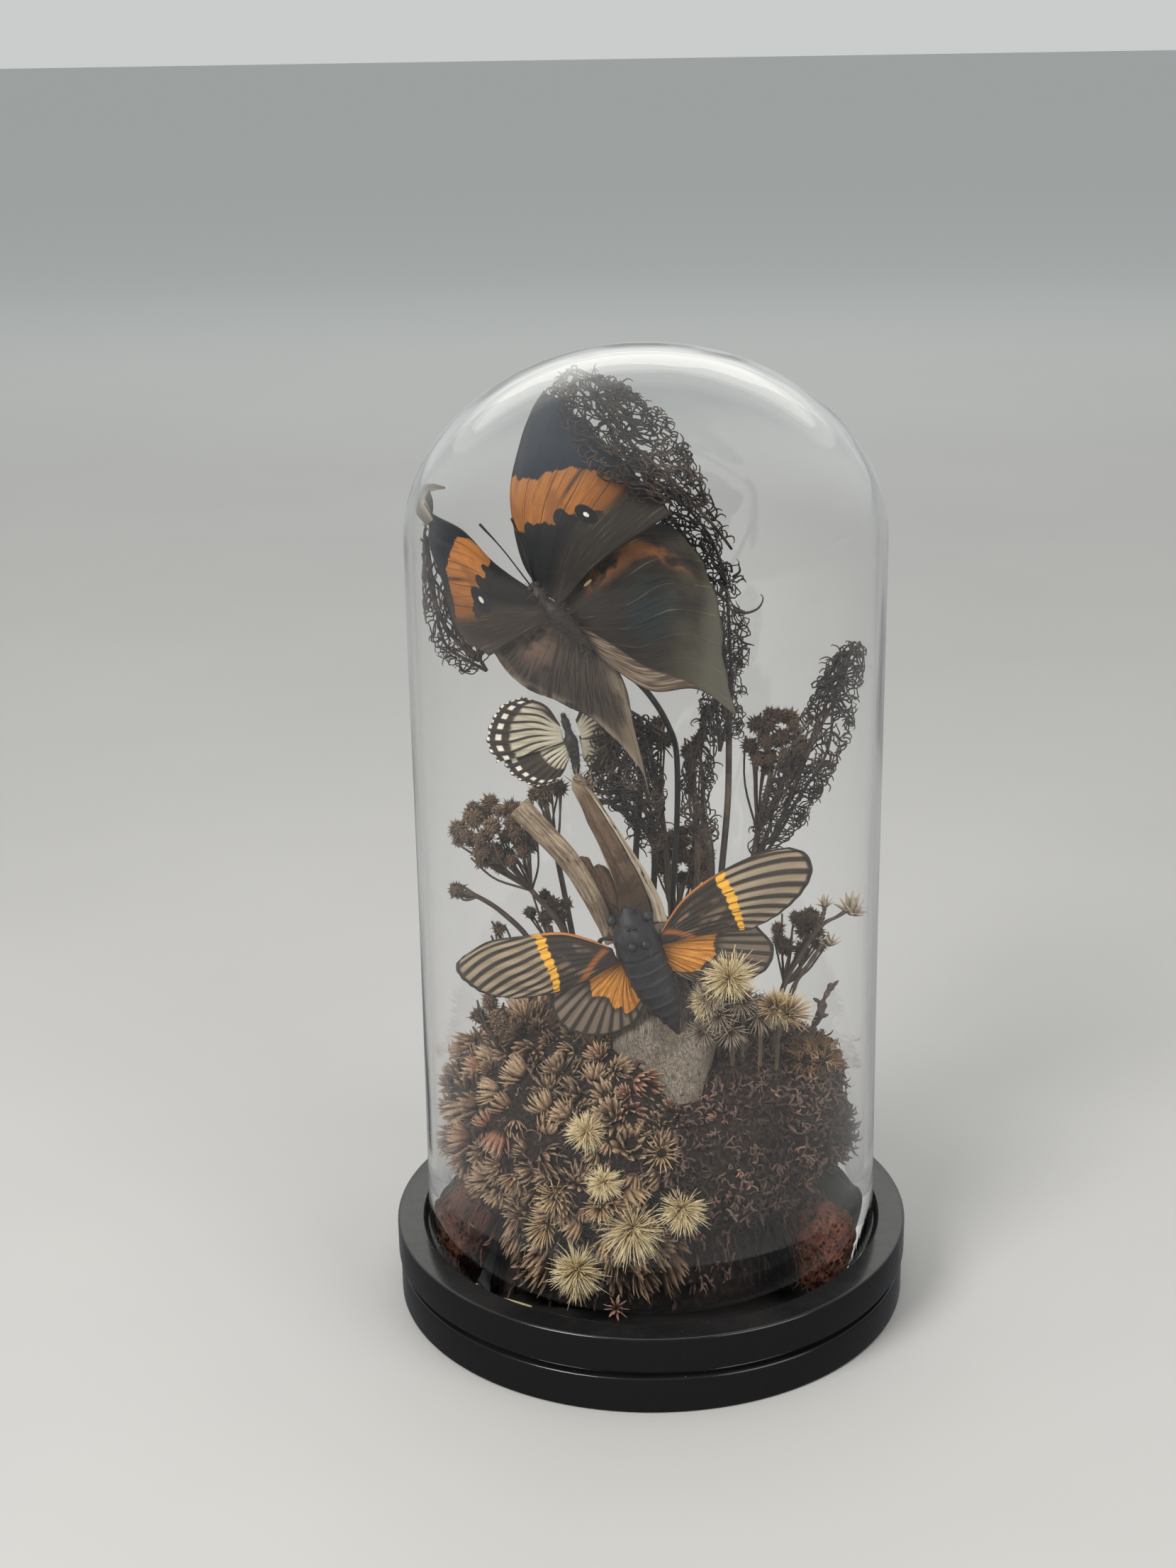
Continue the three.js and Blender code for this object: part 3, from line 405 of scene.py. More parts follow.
def tube(path, radii, sides=14, steps=40, flat=1.0, swell=None):
    """A closed body round a smooth path. swell(share, angle) is added to its radius."""
    line = smooth_line(path)
    share = np.linspace(0, 1, steps + 1)
    centre = line(share)
    ahead = unit_vectors(np.gradient(centre, axis=0))
    deep = np.broadcast_to(np.array([0, 1.0, 0]), ahead.shape)
    deep = np.where(np.abs(ahead[:, 1:2]) > 0.9, np.array([1.0, 0, 0]), deep)
    side = unit_vectors(np.cross(deep, ahead))
    deep = np.cross(ahead, side)
    angle = 2 * np.pi * np.arange(sides) / sides
    radius = np.interp(share, np.linspace(0, 1, len(radii)), radii)[:, None]
    reach = radius + (swell(share[:, None], angle[None]) if swell else 0 * angle)
    across, back = reach * np.cos(angle), reach * np.sin(angle)
    rings = centre[:, None] + side[:, None] * across[..., None] + deep[:, None] * back[..., None] * flat
    length = np.linalg.norm(np.diff(centre, axis=0), axis=1).sum()
    reached = np.broadcast_to(share[:, None] * length, across.shape)
    grain = np.stack([across, back, reached], -1).reshape(-1, 3)
    faces = rings_joined(steps + 1, sides)
    end, last = steps * sides, (steps + 1) * sides
    faces += [(last, (turn + 1) % sides, turn) for turn in range(sides)]
    faces += [(last + 1, end + turn, end + (turn + 1) % sides) for turn in range(sides)]
    points = np.vstack([rings.reshape(-1, 3), centre[:1], centre[-1:]])
    return points, faces, np.vstack([grain, [[0, 0, 0]], [[0, 0, length]]])


def joined(parts):
    """One shape from several, each its points, its faces and a value for each point."""
    faces, start = [], 0
    for points, part_faces, _ in parts:
        faces += [tuple(start + corner for corner in face) for face in part_faces]
        start += len(points)
    return np.concatenate([part[0] for part in parts]), faces, np.concatenate([part[2] for part in parts])


def grown(name, parts, finish, slot, *nodes):
    points, faces, grain = joined(parts)
    fit(name, with_values(make_mesh(name, points, faces), "grain", grain), finish, slot, *nodes)


def straw_finish():
    paint = Paint("straw", Roughness=0.6)
    fibre = paint.noise(paint.grain(3, 3, 0.2), 1.5, 4)
    colour = paint.mix((0.3, 0.21, 0.12), (0.62, 0.5, 0.34), fibre.rises(0.3, 0.7))
    return paint.finish(colour, relief=fibre, depth=0.1)


STRAW = straw_finish()
straws = {
    "straw_front": [[-35.6, -31.5, 17.75], [-31.8, -32.8, 17.75], [-27.6, -33.4, 17.75]],
    "straw_side": [[-41, -28.4, 17.7], [-38.4, -29, 17.7], [-36.2, -29.2, 17.7]],
}
for name, path in straws.items():
    split = tube(path, [0.3, 0.5, 0.45, 0.2], 8, 14, 0.8, lambda share, angle: 0.06 * np.sin(3 * angle))
    grown("bit_of_" + name, [split], STRAW, "straw", name)


# Mound: a ball of dark moss glued in the recess. Dried daisy cups are pushed into its left half,
# and curled purple-brown moss covers the right.
MOUND_TOP, MOUND_DEPTH = 76.4, 0.88
WIDEST = 53.4


def mound_radius(angle, height):
    """How far the mound reaches, drawn in low down where the stones and the star lie against it."""
    levels = [(FLOOR, 38), (26, 43.5), (36, 50), (44, 52), (57, 52), (63, 46), (70, 34), (75, 15),
        (76.5, 2)]
    radius = np.interp(height, *zip(*levels)) + 0 * angle
    for bearing, reach, spread in ((-0.5, 35, 0.55), (-2.95, 37, 0.6), (-1.15, 34, 0.5)):
        away = np.abs((angle - bearing + np.pi) % (2 * np.pi) - np.pi)
        eased = reach + np.maximum(radius - reach, 0) * np.minimum(away / spread, 1) ** 2
        radius = np.where((height < 38) & (away < spread), np.minimum(radius, eased), radius)
    rough = 1 + 0.035 * np.sin(7 * angle + 0.21 * height) + 0.02 * np.sin(13 * angle - 0.4 * height)
    return np.minimum(radius * rough, WIDEST)


def mound(name, shrink=0.0, rows=46, turns=110, keep=lambda x, y, z: True):
    """The skin of the mound, drawn in by shrink. keep picks the part of it that is made."""
    height = np.linspace(FLOOR, MOUND_TOP, rows)
    angle = np.linspace(-np.pi, np.pi, turns, endpoint=False)
    grid_angle, grid_height = np.meshgrid(angle, height)
    reach = np.maximum(mound_radius(grid_angle, grid_height) - shrink, 0.3)
    level = np.minimum(grid_height, MOUND_TOP - shrink * 0.7)
    across, deep = reach * np.cos(grid_angle), reach * np.sin(grid_angle) * MOUND_DEPTH
    points = np.stack([across, deep, level], -1).reshape(-1, 3)
    faces = rings_joined(rows, turns)
    kept = [face for face in faces if keep(*(points[face[0]] + points[face[2]]) / 2)]
    return make_mesh(name, points, kept)


def dark_moss():
    paint = Paint("packed_dark_moss", 0.15)
    place = paint.place()
    clumps = paint.noise(place, 0.9, 6, 0.7)
    colour = paint.mix((0.02, 0.014, 0.013), (0.085, 0.058, 0.045), clumps.rises(0.4, 0.75))
    return paint.finish(colour, 0.9 + 0.1 * clumps, relief=clumps, depth=1.6)


fit("moss_bed", turned_outwards(mound("moss_bed", 2.6), True), dark_moss(), "curly_moss", "mound_moss")


def scatter_tree():
    """Sets motifs over a surface, each along its normal and turned, tilted and sized by chance."""
    tree = bpy.data.node_groups.new("set_over_surface", "GeometryNodeTree")
    kinds = {"Surface": "Geometry", "Motifs": "Collection", "Finish": "Material", "Seed": "Int"}
    kinds |= {size: "Float" for size in ("Spacing", "Density", "Smallest", "Largest", "Tilt")}
    for name, kind in kinds.items():
        tree.interface.new_socket(name, in_out="INPUT", socket_type="NodeSocket" + kind)
    tree.interface.new_socket("Geometry", in_out="OUTPUT", socket_type="NodeSocketGeometry")

    def add(kind, inputs, **settings):
        node = tree.nodes.new(kind)
        for setting, value in settings.items():
            setattr(node, setting, value)
        for socket, value in inputs.items():
            if isinstance(value, bpy.types.NodeSocket):
                tree.links.new(value, node.inputs[socket])
            else:
                node.inputs[socket].default_value = value
        return node.outputs

    given = add("NodeGroupInput", {})
    spread = {"Mesh": given["Surface"], "Distance Min": given["Spacing"], "Density Max": given["Density"]}
    spread["Seed"] = given["Seed"]
    points = add("GeometryNodeDistributePointsOnFaces", spread, distribute_method="POISSON")
    back = add("ShaderNodeMath", {0: given["Tilt"], 1: -1.0}, operation="MULTIPLY")[0]
    least = add("ShaderNodeCombineXYZ", {"X": back, "Y": back, "Z": 0.0})[0]
    most = add("ShaderNodeCombineXYZ", {"X": given["Tilt"], "Y": given["Tilt"], "Z": 2 * math.pi})[0]
    range_of_turn = {0: least, 1: most, "Seed": given["Seed"]}
    turn = add("FunctionNodeRandomValue", range_of_turn, data_type="FLOAT_VECTOR")[0]
    upright = add("FunctionNodeAlignRotationToVector", {"Vector": points["Normal"]}, axis="Z")[0]
    turning = {"Rotation": upright, "Rotate By": turn}
    turned = add("FunctionNodeRotateRotation", turning, rotation_space="LOCAL")[0]
    range_of_size = {2: given["Smallest"], 3: given["Largest"], "Seed": 7}
    size = add("FunctionNodeRandomValue", range_of_size, data_type="FLOAT")[1]
    kit = {"Collection": given["Motifs"], "Separate Children": True, "Reset Children": True}
    motifs = add("GeometryNodeCollectionInfo", kit)[0]
    put = {"Points": points["Points"], "Instance": motifs, "Pick Instance": True, "Rotation": turned,
        "Scale": size}
    placed = add("GeometryNodeInstanceOnPoints", put)[0]
    chance = add("FunctionNodeRandomValue", {2: 0.0, 3: 1.0, "Seed": 11}, data_type="FLOAT")[1]
    marks = {"Geometry": placed, "Name": "shade", "Value": chance}
    marked = add("GeometryNodeStoreNamedAttribute", marks, data_type="FLOAT", domain="INSTANCE")[0]
    solid = add("GeometryNodeRealizeInstances", {"Geometry": marked})[0]
    done = add("GeometryNodeSetMaterial", {"Geometry": solid, "Material": given["Finish"]})[0]
    add("NodeGroupOutput", {"Geometry": done})
    return tree


SCATTER = scatter_tree()


def motif(points, faces, tip):
    """A small shape that is set down many times, with how far along it each point lies."""
    return bpy.data.objects.new("motif", with_values(make_mesh("motif", points, faces), "tip", tip))


def scatter(name, surface, motifs, finish, slot, *nodes, **sizes):
    """Fits a surface's cover of motifs as one plain mesh. sizes are the tree's inputs, in millimetres."""
    kit = bpy.data.collections.new(name + "_motifs")
    for shape in motifs:
        kit.objects.link(shape)
    carrier = put(name + "_carrier", surface)
    modifier = carrier.modifiers.new("cover", "NODES")
    modifier.node_group = SCATTER
    usual = {"Seed": 1, "Smallest": 0.8, "Largest": 1.2}
    values = {"Motifs": kit, "Finish": finish} | usual | sizes
    values["Spacing"] *= MM
    values["Density"] = 1.5 / values["Spacing"] ** 2
    for item in SCATTER.interface.items_tree:
        if item.name in values:
            modifier[item.identifier] = values[item.name]
    evaluated = carrier.evaluated_get(bpy.context.evaluated_depsgraph_get())
    mesh = bpy.data.meshes.new_from_object(evaluated)
    carrier.modifiers.clear()
    bpy.data.objects.remove(carrier)
    for shape in motifs:
        bpy.data.objects.remove(shape)
    bpy.data.collections.remove(kit)
    mesh.name = name
    fit(name, mesh, None, slot, *nodes)


def strands(paths, radii, wide=1.0):
    """Closed three-sided strands, one along each path of the array (strand, point, 3)."""
    paths = np.asarray(paths, float)
    count, length = paths.shape[:2]
    radii = np.broadcast_to(radii, (count, length))[..., None]
    ahead = unit_vectors(np.gradient(paths, axis=1))
    bend = np.cross(paths[:, length // 2] - paths[:, 0], paths[:, -1] - paths[:, length // 2])
    spare = np.cross(ahead[:, 0], np.array([0.31, 0.92, 0.23]))
    bend = unit_vectors(np.where(np.linalg.norm(bend, axis=-1, keepdims=True) > 1e-3, bend, spare))
    side = unit_vectors(bend[:, None] - ahead * np.sum(bend[:, None] * ahead, -1, keepdims=True))
    deep = np.cross(ahead, side)
    rings = []
    for corner in range(3):
        angle = 2 * math.pi * corner / 3
        rings.append(paths + radii * (side * math.cos(angle) * wide + deep * math.sin(angle)))
    points = np.stack(rings, 2).reshape(-1, 3)
    start = (np.arange(count) * length * 3)[:, None, None]
    row = (np.arange(length - 1) * 3)[None, :, None]
    corner = np.arange(3)[None, None, :]
    after = (corner + 1) % 3
    ring = start + row
    quads = [ring + corner, ring + after, ring + 3 + after, ring + 3 + corner]
    quads = np.stack(np.broadcast_arrays(*quads), -1)
    ends = np.arange(count)[:, None] * length * 3
    caps = np.vstack([ends + [2, 1, 0], ends + (length - 1) * 3 + [0, 1, 2]])
    faces = quads.reshape(-1, 4).tolist() + caps.tolist()
    tip = np.broadcast_to(np.linspace(0, 1, length)[None, :, None], (count, length, 3)).ravel()
    return points, faces, tip


def hook(rng, length, steps=7, turn=4.2, spread=0.35):
    """A thread that grows up and curls over at its tip."""
    heading = rng.uniform(0, 2 * math.pi)
    lean = rng.uniform(0, spread)
    point = np.zeros(3)
    made = [point]
    for step in range(steps):
        along = (step + 1) / steps
        lean += turn * along ** 1.5 / steps
        drift = heading + 0.8 * math.sin(3 * along + heading)
        move = np.array([math.sin(lean) * math.cos(drift), math.sin(lean) * math.sin(drift),
            math.cos(lean)])
        point = point + move * length / steps
        made.append(point)
    return np.array(made)


def moss_curl(seed):
    rng = default_rng(seed)
    paths = np.array([hook(rng, rng.uniform(1.8, 4.4), 4, rng.uniform(1.5, 6.0), 1.1) for _ in range(4)])
    return motif(*strands(paths - [0, 0, 0.5], np.array([0.16, 0.19, 0.2, 0.17, 0.07]), 2.0))


def moss_finish():
    paint = Paint("curled_moss", 0.2)
    shade = paint.read("shade")
    tip = paint.read("tip")
    patch = paint.clouds(0.07, 4).rises(0.4, 0.6)
    stops = [(0, (0.045, 0.027, 0.025)), (0.5, (0.13, 0.076, 0.064)), (0.88, (0.25, 0.16, 0.13)),
        (0.95, (0.4, 0.19, 0.15))]
    colour = paint.curve(shade, stops)
    colour = paint.mix(colour, (0.27, 0.185, 0.15), tip * 0.5)
    colour = paint.mix(colour, (0.022, 0.014, 0.014), patch * 0.8)
    return paint.finish(colour, 0.65 + 0.3 * shade)


def beside_trunk(x, y, z, foot=67):
    """Whether a point of the mound lies where the wood comes out of it and nothing grows."""
    return z > foot and y < 4 and 3 - 1.6 * (z - foot) < x < 11 + 1.2 * (z - foot)


moss_skin = mound("moss_skin", 2.0, keep=lambda x, y, z: x > 4 and z > 20 and not beside_trunk(x, y, z))
moss_kinds = [moss_curl(seed) for seed in range(5)]
MOSS = moss_finish()
moss_sizes = {"Spacing": 1.78, "Tilt": 1.2, "Smallest": 0.45}
scatter("curled_moss", moss_skin, moss_kinds, MOSS, "curly_moss", **moss_sizes)


def petal_ring(rng, count, length, width, open_angle, curl, lift=0.0, base=0.6, wide=1.0):
    """Pointed bracts round a stem, as paths that rise from it and open."""
    paths = []
    for number in range(count):
        around = 2 * math.pi * (number + rng.uniform(-0.25, 0.25)) / count
        lean = open_angle * rng.uniform(0.75, 1.2)
        radius, height = base, lift
        path = []
        for step in range(4):
            path.append((radius * math.cos(around), radius * math.sin(around), height))
            bend = lean + curl * step
            radius += math.sin(bend) * length / 3
            height += math.cos(bend) * length / 3
        paths.append(path)
    return strands(paths, np.array([0.45, 1.0, 0.8, 0.12]) * width, wide)


def bract_cup(seed):
    """A dried daisy cup: rings of narrow pointed bracts round a heart of short bristles."""
    rng = default_rng(seed)
    outer = petal_ring(rng, 12, 4.6, 0.25, 0.95, 0.06, -0.8, 0.9, 3.6)
    middle = petal_ring(rng, 10, 5.0, 0.25, 0.55, 0.02, -0.6, 0.8, 3.6)
    inner = petal_ring(rng, 7, 4.6, 0.22, 0.3, -0.03, -0.3, 0.6, 3.2)
    heart = petal_ring(rng, 9, 3.9, 0.12, 0.2, 0.05, 0, 0.5, 1.4)
    return motif(*joined([outer, middle, inner, heart]))


def closed_cup(seed):
    rng = default_rng(seed)
    outer = petal_ring(rng, 12, 6.0, 0.29, 0.75, -0.22, -1.4, 1.1, 3.4)
    inner = petal_ring(rng, 9, 6.0, 0.26, 0.45, -0.14, -1.2, 0.8, 3.2)
    return motif(*joined([outer, inner]))


def daisy_finish():
    paint = Paint("dried_bracts", 0.25)
    shade = paint.read("shade")
    x, y, z = (paint.place().axis(number) for number in range(3))
    away = ((x + 8) * (x + 8) + (z - 42) * (z - 42)).math("SQRT")
    fresh = away.rises(26, 8) * y.rises(-20, -35)
    tip = paint.read("tip")
    stripe = paint.clouds(1.9, 4).rises(0.35, 0.7)
    stops = [(0, (0.095, 0.052, 0.036)), (0.3, (0.2, 0.112, 0.07)), (0.55, (0.34, 0.215, 0.135))]
    stops += [(0.8, (0.43, 0.31, 0.195)), (0.87, (0.36, 0.19, 0.115)), (1, (0.3, 0.125, 0.08))]
    colour = paint.curve(shade, stops)
    colour = paint.mix(colour, (0.5, 0.33, 0.17), fresh * shade.rises(0.2, 0.7) * 0.75)
    colour = paint.mix(colour, (0.62, 0.47, 0.31), tip.rises(0.5, 1.0) * 0.6)
    bed = paint.clouds(0.075, 3).rises(0.42, 0.62)
    # Darker along random stripes and patches, and darkest at the base of each bract: painted shade between
    # the bracts.
    deep = stripe * 0.5 | tip.rises(0.45, 0.0) * 0.85 | bed * 0.35
    colour = paint.mix(colour, (0.045, 0.025, 0.019), deep)
    return paint.finish(colour, 0.6 + 0.3 * stripe)


DAISY = daisy_finish()
flower_skin = mound("flower_skin", 3.0, keep=lambda x, y, z: x < 5 and z > 23 and not beside_trunk(x, y, z))
cups = [bract_cup(seed) for seed in range(2)] + [closed_cup(seed) for seed in (8, 9, 10)]
cup_sizes = {"Spacing": 4.6, "Tilt": 1.05, "Smallest": 0.6, "Largest": 1.15, "Seed": 3}
scatter("daisy_cups", flower_skin, cups, DAISY, "dried_flowers", "mound_flowers", **cup_sizes)
filler_skin = mound("filler_skin", 2.4, keep=lambda x, y, z: x < 6 and not beside_trunk(x, y, z))
filler_kinds = [moss_curl(seed) for seed in range(20, 23)]
scatter("small_moss_curls", filler_skin, filler_kinds, MOSS, "curly_moss", Spacing=3.4, Tilt=0.9)


def rust_finish():
    paint = Paint("rust_moss", 0.15)
    shade = paint.read("shade")
    stops = [(0, (0.06, 0.026, 0.012)), (0.5, (0.17, 0.075, 0.028))]
    stops += [(0.85, (0.27, 0.14, 0.055)), (1, (0.52, 0.42, 0.27))]
    colour = paint.curve(shade, stops)
    colour = paint.mix(colour, (0.36, 0.25, 0.13), paint.read("tip") * 0.35)
    return paint.finish(colour, 0.7 + 0.2 * shade)


def lump_of(centre, radii, seed, fineness=3):
    """A closed rough lump, as a carrier for what covers it."""
    unit, faces = ball_shape(fineness)
    skin = np.array(centre) + unit * np.array(radii) * (1 + 0.2 * wobble(unit, 3.2, seed))[:, None]
    return make_mesh("lump", skin, faces, smooth=False)


def moss_hair(seed):
    rng = default_rng(seed)
    paths = [hook(rng, rng.uniform(2.0, 4.4), 6, rng.uniform(0.5, 3.5), 0.8) for _ in range(5)]
    return motif(*strands(paths, np.array([0.12, 0.14, 0.13, 0.12, 0.1, 0.08, 0.04])))


RUST_PLACE, RUST_SEED = (40.2, -12.4, 67.6), 4
rust_lump = lump_of(RUST_PLACE, (4.4, 3.6, 2.6), RUST_SEED)
rust_hairs = [moss_hair(seed) for seed in (31, 32, 33)]
scatter("rust_tuft", rust_lump, rust_hairs, rust_finish(), "rust_moss", "rust_moss", Spacing=1.0, Tilt=0.8)
fit("rust_tuft_heart", lump_of(RUST_PLACE, (4.2, 3.4, 2.4), RUST_SEED), dark_moss(), "rust_moss")


def set_upright(shape, centre, facing):
    """A shape that grows along Z, turned to face a way and moved to its place, with its tip shares."""
    points, faces, tip = shape
    turn = Vector((0, 0, 1)).rotation_difference(Vector(facing)).to_matrix()
    return points @ np.array(turn).T + np.array(centre, float), faces, np.stack([tip] * 3, -1)


def star_finish(name, deep, mid, pale):
    paint = Paint(name, 0.25)
    tip = paint.grain().axis(0)
    rib = paint.clouds(2.2, 4)
    colour = paint.curve(tip, [(0, deep), (0.5, mid), (1, pale)])
    colour = paint.mix(colour, deep, rib.rises(0.5, 0.65) * 0.5)
    return paint.finish(colour, 0.6 + 0.2 * rib)


for stone_name in ("red_stone_right", "red_stone_left"):
    skin = bpy.data.objects[stone_name].data.copy()
    sizes = {"Spacing": 2.6, "Tilt": 0.9, "Smallest": 0.4, "Largest": 0.9}
    scatter(stone_name + "_moss", skin, [moss_hair(seed) for seed in (34, 35)], MOSS, "curly_moss", **sizes)
chance = default_rng(12)
PINK_STAR = star_finish("pink_star", (0.12, 0.05, 0.038), (0.3, 0.155, 0.12), (0.47, 0.3, 0.23))
pink = [petal_ring(chance, 9, 2.8, 0.15, 1.15, 0.0, 0, 0.5, 3.6)]
pink.append(petal_ring(chance, 6, 2.2, 0.13, 0.6, 0.0, 0.2, 0.4, 3.2))
pink = set_upright(joined(pink), (-8, -45.2, 20.8), (0, -1, 0.35))
grown("pink_star_flower", [pink], PINK_STAR, "pink_flower", "pink_star")
GOLDEN = star_finish("golden_bract", (0.15, 0.075, 0.03), (0.4, 0.26, 0.12), (0.66, 0.52, 0.32))
gold_places = [
    ((33.4, -22, 83.4), (0.45, -0.6, 0.65), 6.4), ((29.6, -23.4, 85.8), (-0.5, -0.6, 0.6), 4.6),
    ((-22.6, -41.5, 45), (-0.3, -0.9, 0.3), 4.6), ((2.6, -43.6, 57.4), (0.1, -0.9, 0.4), 4.8),
    ((-25, -39.5, 36), (-0.5, -0.8, 0), 5.2), ((-11.8, -44.2, 43.6), (-0.2, -1, 0), 4.4),
]


def bract_heads(places, leans, count, width, *shape):
    """Heads of bracts in rings, each a place, the way it faces and the length of its bracts."""
    heads = []
    for centre, facing, reach in places:
        rings = [petal_ring(chance, count, reach, width, lean, *shape) for lean in leans]
        heads.append(set_upright(joined(rings), centre, facing))
    return heads


golden = bract_heads(gold_places, (0.95, 0.6, 0.28), 15, 0.11, 0.05, -0.5, 0.7, 2.4)
grown("golden_bracts", golden, GOLDEN, "dried_flowers")
GREY_TUFT = star_finish("grey_tuft", (0.11, 0.075, 0.055), (0.27, 0.21, 0.16), (0.5, 0.43, 0.34))
tuft_places = [
    ((14.6, -23.4, 88.6), (-0.6, -0.7, 0.3), 5.0), ((16.4, -24.4, 84), (-0.2, -0.8, 0.1), 5.2),
    ((22.2, -23.6, 87.4), (0.3, -0.8, 0.3), 4.8), ((26.4, -22.4, 83), (0.4, -0.8, 0.1), 5.0),
    ((19.4, -25, 80), (0, -0.9, -0.1), 4.6), ((12.8, -23.6, 79.4), (-0.3, -0.9, 0), 4.4),
]
tufts = bract_heads(tuft_places, (1.15, 0.75, 0.35), 16, 0.1, 0.08, -0.6, 0.6, 1.6)
for (x, y, z), _, _ in tuft_places:
    stalk = [[x, y + 0.6, z - 1], [x + 0.4, -20, z - 9], [x, -19, 62]]
    tufts.append(tube(stalk, [0.45, 0.5, 0.5], 6, 12))
grown("grey_tufts", tufts, GREY_TUFT, "dried_flowers")


# Driftwood: a forked, sea-worn root stands in the mound. Its left prong is a round stick cut off
# square, its right one a flat split slab with a curled tip, and a thin brown web joins the two.
def patch(front, outer, back, camber=0.0):
    """The middle surface of a blade, read by (s, t): s from root to margin, t from front to back edge.

    outer lies between the far ends of the two edges."""
    edges = front, [front[-1], *outer, back[-1]], back
    front_line, outer_line, back_line = (smooth_line(edge) for edge in edges)
    root, tip = np.array([front[0], back[0]], float), np.array([front[-1], back[-1]], float)

    def at(s, t):
        across, down = s[..., None], t[..., None]
        corner = root[0] * (1 - down) + root[1] * down
        ruled = front_line(s) * (1 - down) + back_line(s) * down
        ends = corner * (1 - across) + outer_line(t) * across
        flat = corner * (1 - across) + (tip[0] * (1 - down) + tip[1] * down) * across
        made = ruled + ends - flat
        made[..., 1] -= camber * np.sin(np.pi * s) * np.sin(np.pi * t)
        return made

    return at


def sheet(at, thickness, along=48, across=32, margin=None, relief=None):
    """A closed thin sheet on a surface. margin(t) shortens it at its outer edge, relief(s, t) lifts it."""
    s, t = np.meshgrid(np.linspace(0, 1, along + 1), np.linspace(0, 1, across + 1), indexing="ij")
    reach = s * (margin(t) if margin else 1)
    middle = at(reach, t)
    normal = unit_vectors(np.cross(np.gradient(middle, axis=0), np.gradient(middle, axis=1)))
    lift = relief(reach, t)[..., None] * normal if relief else 0
    half = thickness(reach, t)[..., None] / 2 if callable(thickness) else thickness / 2
    faces_up, faces_down = middle + lift + normal * half, middle + lift - normal * half
    rows, columns = s.shape
    points = np.vstack([faces_up.reshape(-1, 3), faces_down.reshape(-1, 3)])
    uv = np.vstack([np.stack([reach.ravel(), t.ravel()], -1)] * 2)
    count = rows * columns
    faces = []
    for row in range(rows - 1):
        for column in range(columns - 1):
            a = row * columns + column
            b = a + columns
            faces.append((a, b, b + 1, a + 1))
            faces.append((count + a + 1, count + b + 1, count + b, count + a))
    rim = [*range(columns)] + [row * columns + columns - 1 for row in range(1, rows)]
    rim += [(rows - 1) * columns + column for column in range(columns - 2, -1, -1)]
    rim += [row * columns for row in range(rows - 2, 0, -1)]
    for a, b in zip(rim, rim[1:] + rim[:1]):
        faces.append((a, b, count + b, count + a))
    grain = np.stack([t * 20, 0 * t, s * 40], -1).reshape(-1, 3)
    return points, faces, uv, np.vstack([grain, grain])


def fit_sheet(name, made, finish, slot, *nodes):
    points, faces, uv, grain = made
    mesh = with_values(make_mesh(name, points, faces, uv), "grain", grain)
    fit(name, turned_outwards(mesh), finish, slot, *nodes)


def worn_wood(name, pale, mid, dark, streak=0.45, crack=0.15):
    """Bleached wood: long fibres, darker weather streaks, and fine cracks along the grain."""
    paint = Paint(name, 0.2)
    fibre = paint.noise(paint.grain(3.4, 3.4, 0.22), 1.1, 6, 0.7)
    streaks = paint.noise(paint.grain(1.3, 1.3, 0.12), 1.0, 4)
    cracks = paint.noise(paint.grain(1.8, 1.8, 0.06), 1.0, 2)
    line = abs(cracks - 0.5).rises(0.022, 0.0)
    stain = paint.clouds(0.13, 5)
    pits = paint.cells(paint.grain(1, 1, 0.3), 0.55).rises(0.22, 0.08)
    colour = paint.layers(
        mid,
        (pale, fibre.rises(0.45, 0.57)),
        (dark, streaks.rises(0.49, 0.6) * streak),
        (dark, stain.rises(0.5, 0.62) * streak),
        (tuple(0.4 * part for part in dark), line * (crack + 0.5) | pits * stain.rises(0.42, 0.55) * 0.8),
    )
    return paint.finish(colour, 0.72 + 0.2 * fibre, relief=fibre - line * 0.6 - pits * 0.5, depth=0.55)


def fibres(share, angle):
    """Long shallow flutes along a stick, from the fibres that the sea has washed out."""
    fine = 0.14 * np.sin(11 * angle - 5 * share) * np.cos(9 * share)
    return 0.28 * np.sin(5 * angle + 3 * share) + fine + 0.2 * np.sin(7 * share + angle)


trunk_path = [[3.9, -8.6, 48], [4, -9, 58], [4, -10, 74], [1.5, -10, 88], [-1, -9, 101]]
trunk_wood = worn_wood("grey_root_wood", (0.38, 0.335, 0.275), (0.22, 0.18, 0.145), (0.1, 0.078, 0.06), 0.5)
trunk = tube(trunk_path, [5.5, 6.5, 11, 9, 7.5], 48, 60, 0.75, lambda share,
    angle: 1.1 * fibres(share, angle))
root_path = [[4, -6, 84], [4.2, -12, 80], [4.8, -18.2, 74.7], [6.2, -24.7, 69.9], [7.4, -30.8, 65],
    [7.8, -33.4, 58]]
front_root = tube(root_path, [8, 12.5, 13.4, 9.4, 5, 3], 64, 70, 0.5, lambda share,
    angle: 0.9 * fibres(share, angle))
grown("root_trunk", [trunk, front_root], trunk_wood, "driftwood", "wood_trunk")

stick_path = [[-8.8, -9.6, 97], [-10.6, -9, 101.5], [-13.1, -8, 107.2], [-16.5, -7, 113.5],
    [-20.7, -6, 119.2]]
stick_path += [[-26, -5, 124.9], [-31.2, -4, 130]]
stick_wood = worn_wood("tan_stick_wood", (0.5, 0.4, 0.29), (0.36, 0.27, 0.19), (0.13, 0.08, 0.052), 0.5)


def sawn(share, angle):
    """Washed-out fibres along the stick, and a torn edge where it was cut off."""
    torn = np.clip((share - 0.985) / 0.015, 0,
        1) * (0.15 * np.sin(5 * angle) - 0.1 + 0.1 * np.sin(13 * angle + 1))
    return 0.36 * fibres(2 * share, angle) + torn


